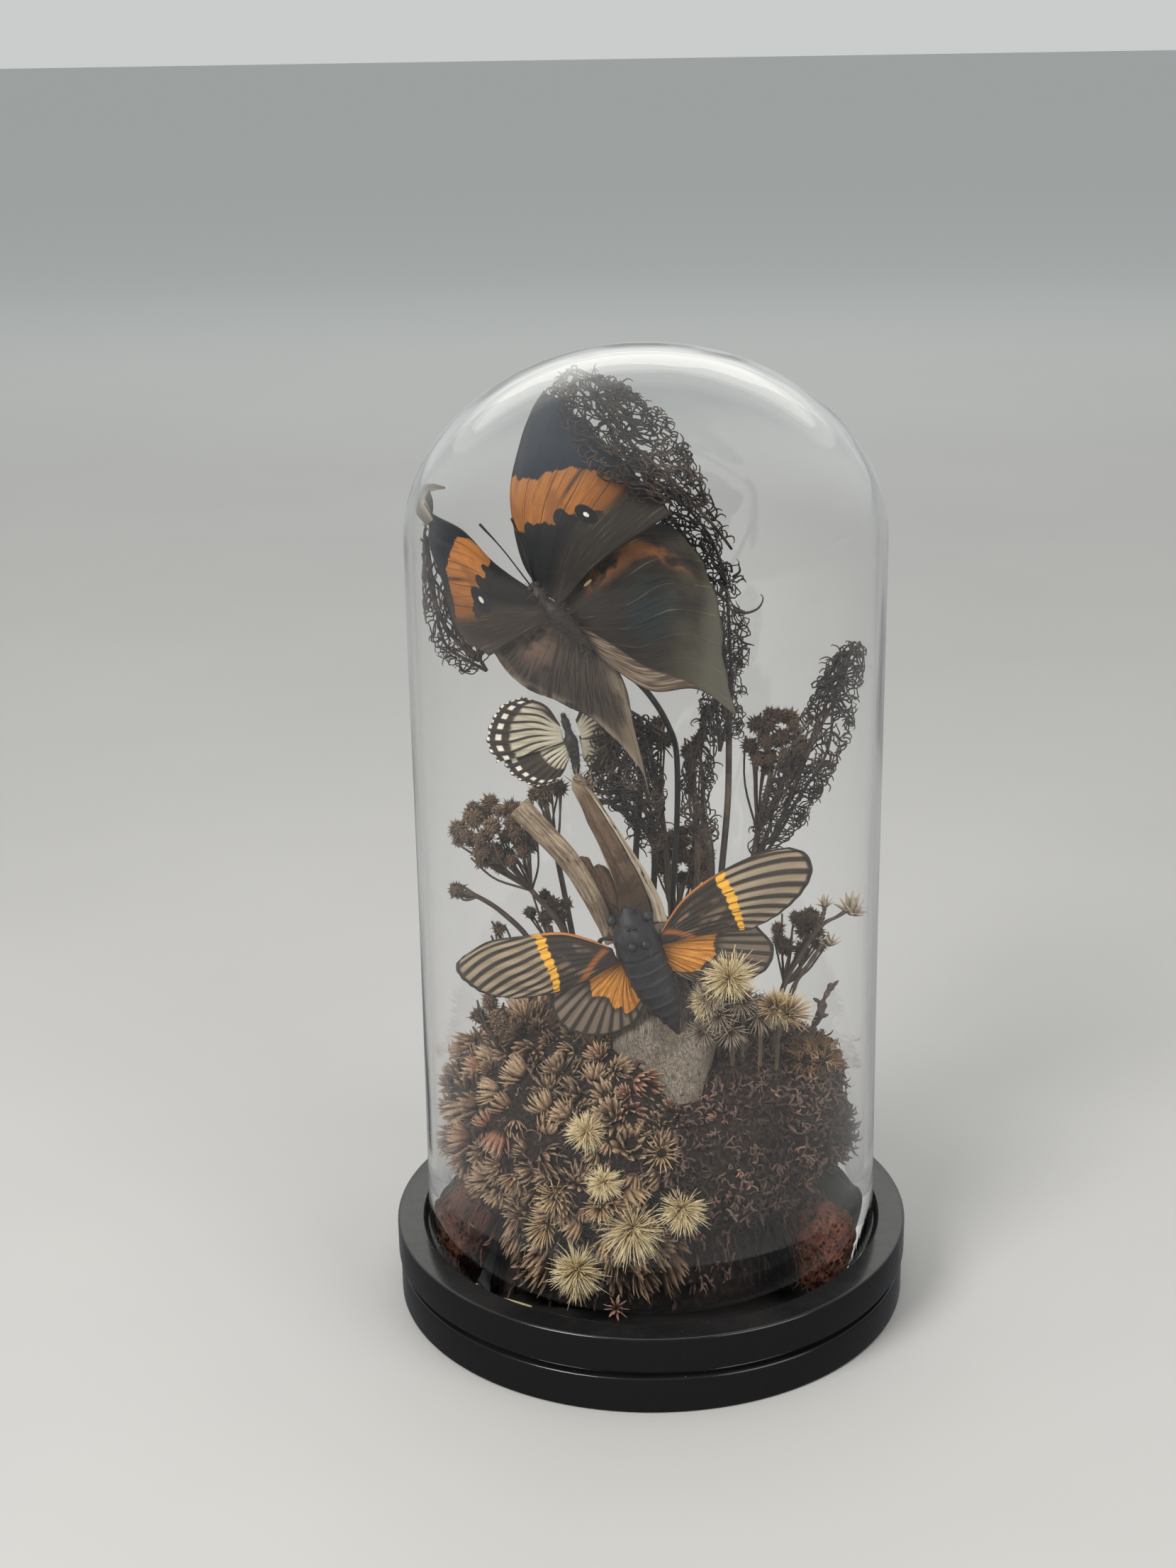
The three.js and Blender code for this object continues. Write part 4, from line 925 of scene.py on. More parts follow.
stick = tube(stick_path, [1.7, 2.1, 2.4, 2.6, 2.7, 2.8], 40, 100, 1, sawn)
grown("round_prong", [stick], stick_wood, "driftwood", "wood_prong_left")

slab = patch(
    [[-7.2, -8.6, 102.6], [-7.4, -7, 109], [-9.8, -5.6, 116.5], [-13, -4, 124], [-15.8, -2.6, 131]],
    [[-18, -1.6, 135], [-17, -1.4, 137.4], [-14.6, -2.6, 135]],
    [[4.8, -9.2, 101.8], [3.4, -8.2, 106.5], [0, -6.8, 113.5], [-4.6, -5.4, 120.6], [-12.4, -3.2, 132.4]],
    1.2,
)


def slab_wood():
    """Brown bark side, with the paler split edge of fresh wood along one long side, a painted highlight
    along the other edge, and painted shade in the crease.
    """
    paint = Paint("split_slab_wood", 0.2)
    s, t = paint.map_axes()
    fibre = paint.noise(paint.grain(2.4, 1, 0.12), 1.2, 6, 0.7)
    stain = paint.clouds(0.22, 4)
    warp = paint.noise(paint.grain(0.4, 1, 0.1), 1, 3) - 0.5
    edge = t + warp * 0.12
    split = edge.rises(0.72, 0.75)
    crack = abs(edge - 0.735).rises(0.022, 0.008) * s.between(0.03, 0.9, 0.05)
    inner = abs(t + warp * 0.2 - 0.87).rises(0.022, 0.006) * s.between(0.25, 0.92, 0.08)
    # A pale strip along the front edge: a painted highlight.
    edge_highlight = abs(t + warp * 0.1 - 0.02).rises(0.05, 0.01) * s.rises(0.2, 0.5)
    crease = abs(t + warp * 0.25 - 0.4).rises(0.05, 0.0) * s.rises(0.9, 0.6)
    colour = paint.layers(
        (0.145, 0.092, 0.06),
        ((0.26, 0.18, 0.122), fibre.rises(0.46, 0.6)),
        ((0.075, 0.047, 0.032), stain.rises(0.48, 0.62) * 0.75),
        # Darker towards the root, and painted shade in the crease.
        ((0.06, 0.037, 0.026), s.rises(0.5, 0.0) * 0.75 | crease * 0.8),
        # Pale fresh wood on the split edge, and the painted highlight along the front edge.
        (paint.mix((0.42, 0.32, 0.23), (0.78, 0.67, 0.52), fibre.rises(0.38, 0.52)), split | edge_highlight * 0.8),
        ((0.42, 0.32, 0.22), s.rises(0.86, 0.97)),
        ((0.028, 0.017, 0.012), crack | inner),
    )
    return paint.finish(colour, 0.75 + 0.15 * fibre, relief=fibre - (crack | inner), depth=0.7)


def slab_relief(s, t):
    """A crease down the bark side, a raised split edge and a few long waves."""
    crease = -0.9 * np.exp(-((t - 0.4) / 0.09) ** 2) * np.sin(np.pi * np.clip(s * 1.1, 0, 1))
    edge = 0.8 * np.clip((t - 0.74) / 0.05, 0, 1) * (1 - 0.6 * s) - 0.5 * np.exp(-((t - 0.87) / 0.02) ** 2)
    return crease + edge + 0.25 * np.sin(16 * t + 5 * s) * np.sin(9 * s)


slab_thickness = lambda s, t: 1.0 + 1.3 * np.sin(np.pi * np.clip(t, 0.03, 0.97)) * (1 - 0.5 * s)
made = sheet(slab, slab_thickness, 70, 44, relief=slab_relief)
fit_sheet("flat_prong", made, slab_wood(), "driftwood", "wood_prong_right")
chance = default_rng(6)
tuft_root = np.array([-15.2, -2.2, 134.6]) + chance.uniform(-1, 1, (34, 3)) * [2.2, 0.6, 1.6]
tuft_way = unit_vectors(np.array([-0.5, -0.2, 1.0]) + chance.normal(0, 0.75, (34, 3)))
tuft_bend = unit_vectors(chance.normal(0, 1, (34, 3)))
tuft_share = np.linspace(0, 1, 7)[None, :, None]
tuft = tuft_root[:, None] + 3.2 * (tuft_way[:, None] * tuft_share
    + 0.6 * tuft_bend[:, None] * tuft_share ** 2)
points, faces, _ = strands(tuft, np.array([0.16, 0.2, 0.18, 0.16, 0.13, 0.1, 0.05]))
bast = worn_wood("pale_bast", (0.42, 0.33, 0.22), (0.27, 0.2, 0.13), (0.12, 0.085, 0.055))
grown("slab_tip_fibres", [(points, faces, points * 0.5)], bast, "driftwood")

web = patch(
    [[-10.6, -7.4, 99], [-13.6, -6.6, 108.6], [-17.8, -5.6, 117]],
    [[-15.2, -5, 117.6], [-13.8, -4.8, 114.6], [-11.6, -4.6, 115.4]],
    [[-5.6, -6.6, 99], [-6.6, -5.6, 107], [-9.6, -4.4, 112.4]],
)
web_wood = worn_wood("brown_web_wood", (0.21, 0.135, 0.09), (0.135, 0.08, 0.052), (0.06, 0.036, 0.026))
made = sheet(web, 1.6, 40, 16, relief=lambda s, t: 0.2 * np.sin(14 * t + 3 * s))
fit_sheet("bark_web", made, web_wood, "driftwood", "wood_web")


# Dried umbels: brown flower heads on forking stalks, pushed into the mound behind the wood. Each
# head is a cluster of small fuzzy balls, every one on its own thin stalk.
def even_directions(count, rng):
    """Directions spread evenly over a ball, a little shaken."""
    number = np.arange(count) + 0.5
    height = 1 - 2 * number / count
    around = np.pi * (1 + 5 ** 0.5) * number
    ring = np.sqrt(1 - height ** 2)
    even = np.stack([ring * np.cos(around), ring * np.sin(around), height], -1)
    return unit_vectors(even + rng.normal(0, 0.08, (count, 3)))


def short_fuzz(ways, low, high, width, rng):
    """Closed little cones that stand on a ball, one along each way, a little askew."""
    across = unit_vectors(np.cross(ways, rng.normal(0, 1, ways.shape)))
    beside = np.cross(ways, across)
    thirds = (0, 2.094, 4.189)
    foot = [ways * low + width * (math.cos(turn) * across + math.sin(turn) * beside) for turn in thirds]
    heads = (ways + rng.normal(0, 0.16, ways.shape)) * rng.uniform(0.78, 1, (len(ways), 1)) * high
    points = np.stack([*foot, heads], 1).reshape(-1, 3)
    corners = ((0, 1, 3), (1, 2, 3), (2, 0, 3), (2, 1, 0))
    starts = range(0, 4 * len(ways), 4)
    faces = [tuple(start + corner for corner in face) for start in starts for face in corners]
    return points, faces, np.tile([0.25, 0.25, 0.25, 1.0], len(ways))


def floret(seed):
    """One fuzzy ball of dry flower: an uneven lump thick with short hairs."""
    rng = default_rng(seed)
    points, faces = ball_shape(2, 1.8)
    points *= rng.uniform(0.9, 1.1, (len(points), 1))
    hairs = short_fuzz(even_directions(105, rng), 1.5, 2.9, 0.36, rng)
    return motif(*joined([hairs, (points, faces, np.full(len(points), 0.25))]))


def umbel_finish(name, dark, mid, pale):
    paint = Paint(name, 0.15)
    shade = paint.read("shade")
    tip = paint.read("tip")
    clump = paint.clouds(0.7, 4)
    colour = paint.curve(shade, [(0, dark), (0.5, mid), (1, pale)])
    colour = paint.mix(paint.mix(dark, colour, tip.rises(0.2, 0.6)), pale,
        tip * 0.8 * clump.rises(0.35, 0.6))
    return paint.finish(colour, 0.75 + 0.2 * clump)


def stalk_finish(name, dark, pale):
    paint = Paint(name, 0.25)
    ribs = paint.noise(paint.grain(6, 6, 0.25), 1, 4)
    bands = paint.noise(paint.grain(0.1, 0.1, 0.25), 1, 2)
    colour = paint.layers(dark, (pale, ribs.rises(0.4, 0.7)), (dark, bands.rises(0.5, 0.65) * 0.5))
    return paint.finish(colour, 0.65 + 0.25 * ribs, relief=ribs, depth=0.15)


UMBEL_BROWN = umbel_finish("umbel_brown", (0.055, 0.034, 0.024), (0.135, 0.09, 0.062), (0.25, 0.175, 0.122))
UMBEL_DARK = umbel_finish("umbel_dark", (0.03, 0.02, 0.015), (0.07, 0.048, 0.036), (0.14, 0.098, 0.072))
STALK = stalk_finish("dry_stalk", (0.055, 0.038, 0.03), (0.17, 0.125, 0.092))
umbels = {
    "yarrow_left": ([-37.8, 6, 119.8], [12.2, 8.2, 10.6],
        [[-36.6, 6, 114], [-29, 7, 104], [-21, 7.6, 92], [-18, 8, 63]]),
    "yarrow_left_small": ([-47.6, 4, 106.2], [3.3, 3.2, 3.2],
        [[-45.4, 4.2, 105.4], [-37, 6.2, 99], [-28, 9, 86], [-23, 9, 55]]),
    "yarrow_left_low": ([-38.4, 9.6, 92.4], [3.6, 3.6, 4.6],
        [[-37, 9.8, 90], [-32, 10.4, 80], [-29, 11, 52]]),
    "yarrow_left_dark": ([-25.4, 13.4, 96.6], [7.4, 4.4, 6.2],
        [[-25, 13.4, 92], [-23.4, 13.4, 80], [-22, 13, 55]]),
    "yarrow_back_left": ([-25.6, 18.6, 126.6], [6, 5, 5.6],
        [[-25.6, 18.6, 123], [-23, 19, 108], [-19, 18, 84], [-16, 16, 58]]),
    "yarrow_centre": ([0.6, 17, 141.4], [6.6, 4.6, 6.6],
        [[1, 17, 137], [4, 16.4, 118], [6, 15, 92], [6, 14, 64]]),
    "yarrow_centre_back": ([11.6, 15, 137.6], [4.2, 4.6, 7.2],
        [[11.6, 15, 132], [12.6, 13.4, 116], [12, 11, 92], [11.6, 10, 64]]),
    "yarrow_right": ([32.4, 16, 139.6], [9.4, 6, 10.4],
        [[31, 15.6, 132], [27, 12, 114], [24, 9, 90], [22.6, 8, 62]]),
    "yarrow_middle": ([9.4, 22, 107], [9.4, 6.4, 9.6], [[8.6, 21.6, 100], [7, 20.6, 84], [6, 19.6, 60]]),
    "yarrow_low_right": ([38, 2, 94], [8.2, 6.4, 8.8], [[36.4, 1.6, 87], [33, 0.6, 78], [30, 0, 58]]),
    "yarrow_low_left": ([-39.2, -10, 77.4], [6, 6, 7.2], [[-38.6, -10, 73], [-36, -9, 66], [-33, -8, 52]]),
}
DARK_UMBELS = ("yarrow_left_dark", "yarrow_low_right", "yarrow_centre_back")


def umbel(name, centre, radii, stem, seed):
    rng = default_rng(seed)
    centre, radii = np.array(centre, float), np.array(radii, float)
    mesh = lump_of(centre, np.maximum(radii - 2.6, 0.9), seed)
    finish = UMBEL_DARK if name in DARK_UMBELS else UMBEL_BROWN
    florets = [floret(seed + number) for number in range(3)]
    sizes = {"Spacing": 3.2, "Tilt": 0.8, "Smallest": 0.7, "Largest": 1.1, "Seed": seed}
    scatter(name + "_head", mesh, florets, finish, "yarrow", name, **sizes)
    fork = smooth_line(stem)(np.array([0.22 if radii[0] > 4 else 0.06]))[0]
    count = int(3 + radii[0] * 1.3)
    ends = centre + even_directions(count, rng) * np.maximum(radii - 1.4, 0.8)
    parts = [tube(stem, [0.6, 0.8, 0.8], 8, 36)]
    for end in ends[ends[:, 2] < centre[2] + radii[2] * 0.7]:
        bend = fork * 0.4 + end * 0.6 + rng.normal(0, 0.8, 3) + [0, 0, -1.4]
        parts.append(tube([fork, bend, end], [0.36, 0.28, 0.28], 5, 8))
    grown(name + "_stalks", parts, STALK, "yarrow")


for number, (name, (centre, radii, stem)) in enumerate(umbels.items()):
    umbel(name, centre, radii, stem, 40 + 7 * number)


# Lace plumes: black-brown dried plumes of curled, branching threads on thin stems. They stand
# behind the butterflies and reach up to the crown of the glass.
plumes = {
    "plume_back": {
        "front": [[14.4, 7.4, 140], [14.6, 6.4, 160], [12, 4.4, 178], [4, 3, 192], [-8, 3, 200],
            [-18, 4, 210], [-20.6, 5, 222]],
        "outer": [[-18.4, 6, 229.4], [-11, 7, 231]],
        "back": [[21.4, 8, 140], [23, 9, 160], [22.4, 9.4, 178], [18.8, 9, 192], [12.6, 8.6, 206],
            [6, 8, 219], [-4, 7, 228.6]],
        "stem": [[20.6, 8.6, 160], [20.2, 8, 145], [19.8, 5.6, 128], [18.4, 3, 112], [16, 2, 84],
            [15, 2, 64]],
        "threads": 470, "deep": 2.4,
        "twigs": [
            [[21, 8.6, 175.4], [24, 8, 174.6], [27.2, 7.6, 176], [28.2, 7.6, 178.4], [27.6, 7.6, 179.2]],
            [[21.4, 8.6, 170], [23.4, 8, 167.4], [26.2, 7.6, 166.6]],
            [[21, 8.6, 183], [22.6, 8, 184.6], [22.2, 7.8, 186.6]],
        ],
    },
    "plume_left": {
        "front": [[-40, 3.4, 160], [-49, 1.8, 168], [-52.6, 1.6, 180], [-52.8, 0.8, 192]],
        "outer": [[-52, 0.8, 198]],
        "back": [[-37, 4, 164], [-41.6, 2.4, 170], [-46, 0.8, 182], [-50, 0.8, 200]],
        "stem": [[-41, 3, 164.6], [-37.4, 5, 169.4], [-26.6, 7, 164.6], [-12.4, 10, 153], [-2.6, 13.4, 139],
            [-3, 12.6, 110], [-5, 10, 65]],
        "threads": 100, "deep": 1.6,
    },
    "plume_centre": {
        "front": [[0.6, 7.4, 113.5], [-5.2, 8.6, 124], [-13.6, 9.6, 129], [-13.4, 10.4, 137],
            [-12, 12, 146]],
        "outer": [[-6, 11.6, 149.6]],
        "back": [[3.2, 7.2, 114], [3.2, 8, 122], [2.6, 8.8, 130], [3, 9.6, 138], [1.4, 10.6, 146]],
        "stem": [[1.8, 7.5, 118], [1.6, 7, 108], [0.6, 5.6, 92], [0.4, 4.6, 65]],
        "threads": 270, "deep": 2.4,
    },
    "plume_right": {
        "front": [[25.8, 4.6, 113], [29.4, 6.4, 127], [36, 7.6, 140], [41, 7, 153], [46.4, 4.6, 165]],
        "outer": [[50.2, 3, 168.4]],
        "back": [[29.8, 4.6, 112.6], [38.6, 6, 125], [45.4, 6, 137], [50, 4.6, 150], [52.4, 2.4, 166]],
        "stem": [[28, 4.8, 117], [26, 4, 108], [22, 2.6, 88], [20, 2, 63]],
        "threads": 250, "deep": 2.0,
    },
    "plume_hanging": {
        "front": [[14.4, 2.4, 116], [9.6, 3.2, 126], [9.6, 3.8, 136], [13.4, 4.2, 147]],
        "outer": [[14.4, 4.2, 153]],
        "back": [[16.6, 2.2, 115.6], [15.4, 3.2, 126], [15.4, 3.8, 137], [16.4, 4.2, 148]],
        "stem": [[15.4, 2.4, 119], [15.8, 1, 110], [12.6, -0.6, 88], [11, -1, 65]],
        "threads": 90, "deep": 1.4,
    },
}


SHOULDER = 195.0


def under_glass(points, rise=41.6):
    """Draws in whatever would come through the glass, below its shoulder and in its crown."""
    level = np.maximum(points[..., 2] - SHOULDER, 0) / rise
    share = np.sqrt((points[..., 0] ** 2 + points[..., 1] ** 2) / WIDEST ** 2 + level ** 2)
    pull = np.where(share > 1, 1 / np.maximum(share, 1e-6), 1)[..., None]
    middle = np.array([0, 0, SHOULDER])
    beside = points * np.concatenate([pull, pull, 1 + 0 * pull], -1)
    return np.where(points[..., 2:] > SHOULDER, middle + (points - middle) * pull, beside)


THREAD_STEPS = 14


def either_way(rng, low, high, count):
    return rng.choice([-1, 1], count) * rng.uniform(low, high, count)


def lace_threads(at, count, deep, seed):
    """Crooked threads that wander over a blade, turn back at its edges and cross into an open net."""
    rng = default_rng(seed)
    s, t = rng.uniform(0.02, 0.97, count), rng.uniform(0.1, 0.9, count)
    heading = either_way(rng, 0.25, 1.25, count)
    wave, pitch = rng.uniform(0, 2 * math.pi, count), rng.uniform(0.85, 1.5, count)
    swing = rng.uniform(0.35, 0.75, count)
    curl = either_way(rng, 0.1, 1.0, count)
    lift = deep * rng.uniform(-1, 1, count)
    pace = rng.uniform(0.65, 1.0, count)
    reach, paths = 0.01, []
    for step in range(THREAD_STEPS):
        share = step / (THREAD_STEPS - 1)
        point = at(s, t)
        along = (at(s + reach, t) - at(s - reach, t)) / (2 * reach)
        across = (at(s, t + reach) - at(s, t - reach)) / (2 * reach)
        out = unit_vectors(np.cross(along, across))
        paths.append(point + out * (lift + 0.5 * np.sin(step * pitch + wave))[:, None])
        long, wide = np.linalg.norm(along, axis=-1), np.linalg.norm(across, axis=-1)
        beyond = np.where(t * wide > wide + 0.7, 1, 0) - np.where(t * wide < -0.7, 1, 0)
        heading = heading + swing * np.cos(step * pitch + wave) + curl * share ** 3
        heading = np.where(beyond != 0, heading - 0.9 * beyond * np.sign(np.cos(heading)), heading)
        s = np.clip(s + pace * np.cos(heading) / np.maximum(long, 5), 0.0, 1.0)
        t = t + pace * np.sin(heading) / np.maximum(wide, 4)
    return under_glass(np.stack(paths, 1))


def edge_hooks(at, count, deep, seed):
    """Loose ends that stand out past both long edges of a blade and its tip, curled over."""
    rng = default_rng(seed)
    side = rng.choice([-1, 1], count)
    s = rng.uniform(0.05, 1, count)
    t = np.where(side > 0, rng.uniform(0.86, 0.99, count), rng.uniform(0.01, 0.14, count))
    ends = rng.uniform(0, 1, count) < 0.2
    s, t = np.where(ends, 0.97, s), np.where(ends, rng.uniform(0.05, 0.95, count), t)
    along = unit_vectors(at(np.minimum(s + 0.02, 1), t) - at(s - 0.02, t))
    across = at(s, np.minimum(t + 0.03, 1)) - at(s, np.maximum(t - 0.03, 0))
    across = unit_vectors(across - along * np.sum(across * along, -1, keepdims=True))
    out = np.cross(along, across)
    heading = np.where(ends, rng.normal(0, 0.7, count), side * rng.uniform(0.5, 1.3, count))
    curl = either_way(rng, 0.25, 0.7, count)
    pace = rng.uniform(0.28, 0.62, count)
    point, paths = at(s, t) + out * (deep * rng.uniform(-0.8, 0.8, count))[:, None], []
    for step in range(9):
        paths.append(point)
        heading = heading + curl * (0.25 + step / 8) + 0.3 * np.sin(2 * step + 9 * s)
        move = along * np.cos(heading)[:, None] + across * np.sin(heading)[:, None]
        point = point + move * pace[:, None]
    return under_glass(np.stack(paths, 1))


def lace_finish():
    paint = Paint("dried_lace", 0.3)
    place = paint.place()
    patch_tone = paint.noise(place, 0.12, 3)
    fine = paint.noise(place, 2.2, 3)
    colour = paint.layers(
        (0.03, 0.023, 0.021),
        ((0.09, 0.064, 0.052), patch_tone.rises(0.45, 0.65)),
        ((0.014, 0.011, 0.011), fine.rises(0.5, 0.7)),
    )
    return paint.finish(colour, 0.55 + 0.3 * fine)


LACE = lace_finish()
HOOK_RADII = np.array([0.24, 0.25, 0.25, 0.24, 0.22, 0.2, 0.18, 0.15, 0.08])


def thread_radii(root, low, high):
    """How thick a thread of lace is at each step along it."""
    return np.interp(np.linspace(0, 1, THREAD_STEPS), [0, 0.1, 0.6, 0.9, 1], [root, low, high, 0.18, 0.1])


def ungrained(points, faces, _):
    return points, faces, np.zeros(points.shape)


def plume(name, front, outer, back, stem, threads, deep, seed, twigs=()):
    at = patch(front, outer, back)
    rng = default_rng(seed)
    paths = lace_threads(at, threads, deep, seed)
    body = [ungrained(*strands(paths,
        thread_radii(0.14, 0.26, 0.25) * rng.uniform(0.75, 1.15, (threads, 1))))]
    body.append(ungrained(*strands(edge_hooks(at, threads // 3, deep, seed), HOOK_RADII)))
    share = np.linspace(0, 0.97, 12)
    spine = at(share, 0.5 + 0.1 * np.sin(9 * share))
    body.append(tube(stem, [0.75, 0.8, 0.8], 8, 48))
    body.append(tube([stem[0], *spine[1:]], [0.7, 0.5, 0.3], 6, 50))
    body += [tube(twig, [0.4, 0.35, 0.25, 0.12], 6, 20) for twig in twigs]
    for side in (0.22, 0.78):
        bow = np.sin(np.pi * np.clip(share * 1.1 + 0.1, 0, 1))
        rib = at(share, 0.5 + (side - 0.5) * bow + 0.05 * np.sin(15 * share))
        body.append(tube([spine[0], *rib[1:]], [0.45, 0.4, 0.25], 6, 50))
    grown(name + "_lace", body, LACE, "lace_plume", name)


for number, (name, shape) in enumerate(plumes.items()):
    plume(name, seed=70 + number, **shape)
over_wing = patch(
    [[3, -13.6, 206], [-6, -13.4, 210.4], [-13, -12, 216], [-17.6, -9.4, 223], [-20.4, -6.4, 231]],
    [[-17, -4.6, 233.6], [-11, -3.6, 232.6]],
    [[14.4, -8, 201], [12, -6.4, 209], [8, -5, 217.5], [2.6, -3.6, 224.6], [-5.6, -3, 230]],
)
over = [ungrained(*strands(lace_threads(over_wing, 150, 1.2, 81), thread_radii(0.12, 0.25, 0.24)))]
over.append(ungrained(*strands(edge_hooks(over_wing, 80, 1.2, 82), HOOK_RADII)))
bend = [[20.6, 8.6, 190], [17, 2, 196], [13, -6.4, 202], [4, -8.4, 212], [-6, -8, 221], [-14, -6, 228]]
over.append(tube(bend, [0.35, 0.4, 0.4, 0.3], 6, 50))
grown("plume_over_wing", over, LACE, "lace_plume")


# Twigs on the right: a bare forked stalk with tan papery star seeds, and a dark knobbly one below
# it. Both are pushed into the mound.
def seed_star(centre, radii, seed, count=22):
    """A dry seed star: stiff pale scales that spread from a small cup."""
    rng = default_rng(seed)
    shapes = []
    for ring, (share, lean) in enumerate(((0.4, 1.15), (0.35, 0.65), (0.25, 0.25))):
        shapes.append(petal_ring(rng, int(count * share), 1.0, 0.085, lean, 0.1, -0.25, 0.12, 2.4))
    points, faces, tip = joined(shapes)
    points = points * (np.array(radii) * 1.75) + np.array(centre) - [0, 0, radii[2] * 0.5]
    return points, faces, np.stack([tip] * 3, -1)


star_stems = [
    [[50.6, -2, 103], [46.4, -3.4, 100.8], [42.6, -5, 99.4], [37.3, -7.4, 92.4], [32.8, -11, 85.6],
        [30, -12, 62]],
    [[43.6, -4.2, 95], [39.4, -7.6, 90.4], [35.4, -10.4, 85.4], [31.4, -11.6, 72]],
    [[43.2, -4, 104.6], [42.8, -4.6, 101.8], [41.2, -5.6, 98]],
]


def seed_finish():
    paint = Paint("papery_seed", 0.3)
    tip = paint.grain()
    rib = paint.clouds(2.4, 3)
    share = tip.axis(0)
    colour = paint.layers((0.3, 0.2, 0.12), ((0.5, 0.425, 0.31), share.rises(0.1, 0.7)),
        ((0.27, 0.2, 0.135), rib.rises(0.5, 0.7)))
    return paint.finish(colour, 0.6 + 0.2 * rib)


star_heads = [
    seed_star([50.2, -2.2, 104], [2.6, 2.4, 3.4], 1, 18),
    seed_star([43.2, -4, 105.4], [1.3, 1.3, 2.0], 2, 12),
    seed_star([44.4, -4, 95.2], [1.9, 1.7, 2.0], 3, 14),
]
grown("seed_stars", star_heads, seed_finish(), "star_seed", "star_twig")
twig_swell = lambda share, angle: 0.1 * np.sin(40 * share) + 0.06 * np.sin(3 * angle + 20 * share)
star_stalks = [tube(stem, [0.45, 0.6, 0.7], 8, 50, 1, twig_swell) for stem in star_stems]
grown("seed_star_stalk", star_stalks, STALK, "star_seed")
knob_path = [[45, -8, 85], [42.8, -9, 81], [41.8, -10, 77.4], [38, -12, 72], [34, -13, 60]]
knob_swell = lambda share, angle: (0.35 * np.sin(34 * share) * np.sin(2 * angle + 9 * share)
    + 0.2 * np.sin(71 * share))
knobs = [tube(knob_path, [0.5, 0.9, 0.7, 0.9, 0.8], 10, 70, 1, knob_swell)]
for share, reach in ((0.06, [2.2, 0, 2.4]), (0.2, [-2.2, -0.6, 1.8]), (0.33, [2.4, 0, 1.0]),
        (0.5, [2.4, -0.4, 1.6])):
    fork = smooth_line(knob_path)(np.array([share]))[0]
    reach = np.array(reach)
    knobs.append(tube([fork, fork + reach * 0.6, fork + reach], [0.5, 0.4, 0.55, 0.2], 8, 12))
grown("knobbly_twig", knobs, LACE, "lace_plume", "knob_twig")


# Seed puffs: cream heads of dry bristles that open in a ball, three on stalks at the right of the
# mound and the others set in among the daisy cups.
def puff_finish():
    paint = Paint("cream_bristle", 0.35)
    tip = paint.read("tip")
    clump = paint.clouds(0.5, 3)
    colour = paint.curve(tip, [(0, (0.38, 0.26, 0.12)), (0.22, (0.54, 0.41, 0.21)),
        (0.7, (0.7, 0.58, 0.345)), (1, (0.8, 0.7, 0.46))])
    colour = paint.mix(colour, (0.5, 0.38, 0.22), clump.rises(0.52, 0.75) * 0.5)
    return paint.finish(colour, 0.5 + 0.2 * clump)


PUFF = puff_finish()
puffs = {
    "puff_high_right": ([19.3, -24.4, 95], 6.6, (0.1, -0.5, 0.85),
        [[19.6, -24, 91], [20, -22.6, 78], [20, -21, 60]]),
    "puff_high_low": ([13.2, -22.6, 86.6], 4.2, (-0.4, -0.7, 0.3),
        [[13.4, -22.4, 84], [14, -21.4, 74], [14, -20, 60]]),
    "puff_high_outer": ([31.6, -20, 84], 4.4, (0.5, -0.6, 0.2),
        [[31.6, -19.8, 81], [31, -18.6, 72], [30, -18, 58]]),
    "puff_front_big": ([-4.2, -45.2, 37.6], 7.6, (0, -1, 0.1), None),
    "puff_front_right": ([8, -45.4, 43.2], 5.8, (0.4, -1, 0.2), None),
    "puff_front_low": ([-17.5, -42, 26.6], 6, (-0.1, -1, -0.2), None),
    "puff_upper_left": ([-14.8, -40, 61.4], 4.8, (-0.1, -0.8, 0.6), None),
    "puff_middle": ([-10.8, -45.4, 50.4], 4.2, (0, -1, 0.2), None),
}


def puff(name, centre, radius, facing, stem, seed):
    """Bristles from one point, all round where the head faces and laid back behind it."""
    rng = default_rng(seed)
    ways = even_directions(500, rng)
    facing = unit_vectors(np.array(facing, float))
    ways = ways[ways @ facing > -0.35]
    root = np.array(centre, float) - facing * radius * 0.3
    length = radius * rng.uniform(0.82, 1.08, len(ways)) * (1 + 0.12 * (ways @ facing))
    share = np.linspace(0, 1, 5)[None, :, None]
    droop = rng.normal(0, 0.15, (len(ways), 1, 3)) + np.array([0, 0, -0.05])
    paths = root + (ways[:, None] * share + droop * share ** 2) * length[:, None, None]
    points, faces, tip = strands(paths, np.array([0.13, 0.13, 0.12, 0.1, 0.04]))
    bristles = with_values(make_mesh(name, points, faces), "tip", tip)
    fit(name + "_bristles", bristles, PUFF, "seed_puff", name)
    cup = petal_ring(rng, 16, radius * 0.55, 0.2, 0.9, -0.12, -0.4, radius * 0.12)
    parts = [ungrained(*set_upright(cup, root - facing * radius * 0.12, facing))]
    if stem:
        parts.append(tube([list(root), *stem[1:]], [0.5, 0.5, 0.55], 8, 24))
    grown(name + "_cup", parts, STALK, "seed_puff")


for number, (name, (centre, radius, facing, stem)) in enumerate(puffs.items()):
    puff(name, centre, radius, facing, stem, 90 + number)


# Cicada: a large black cicada with spread wings, pinned on the front of the wood. The body is matt
# black with a ringed abdomen; the wings are stiff film between thick dark veins.
ABDOMEN, RINGS = 0.36, 11.5


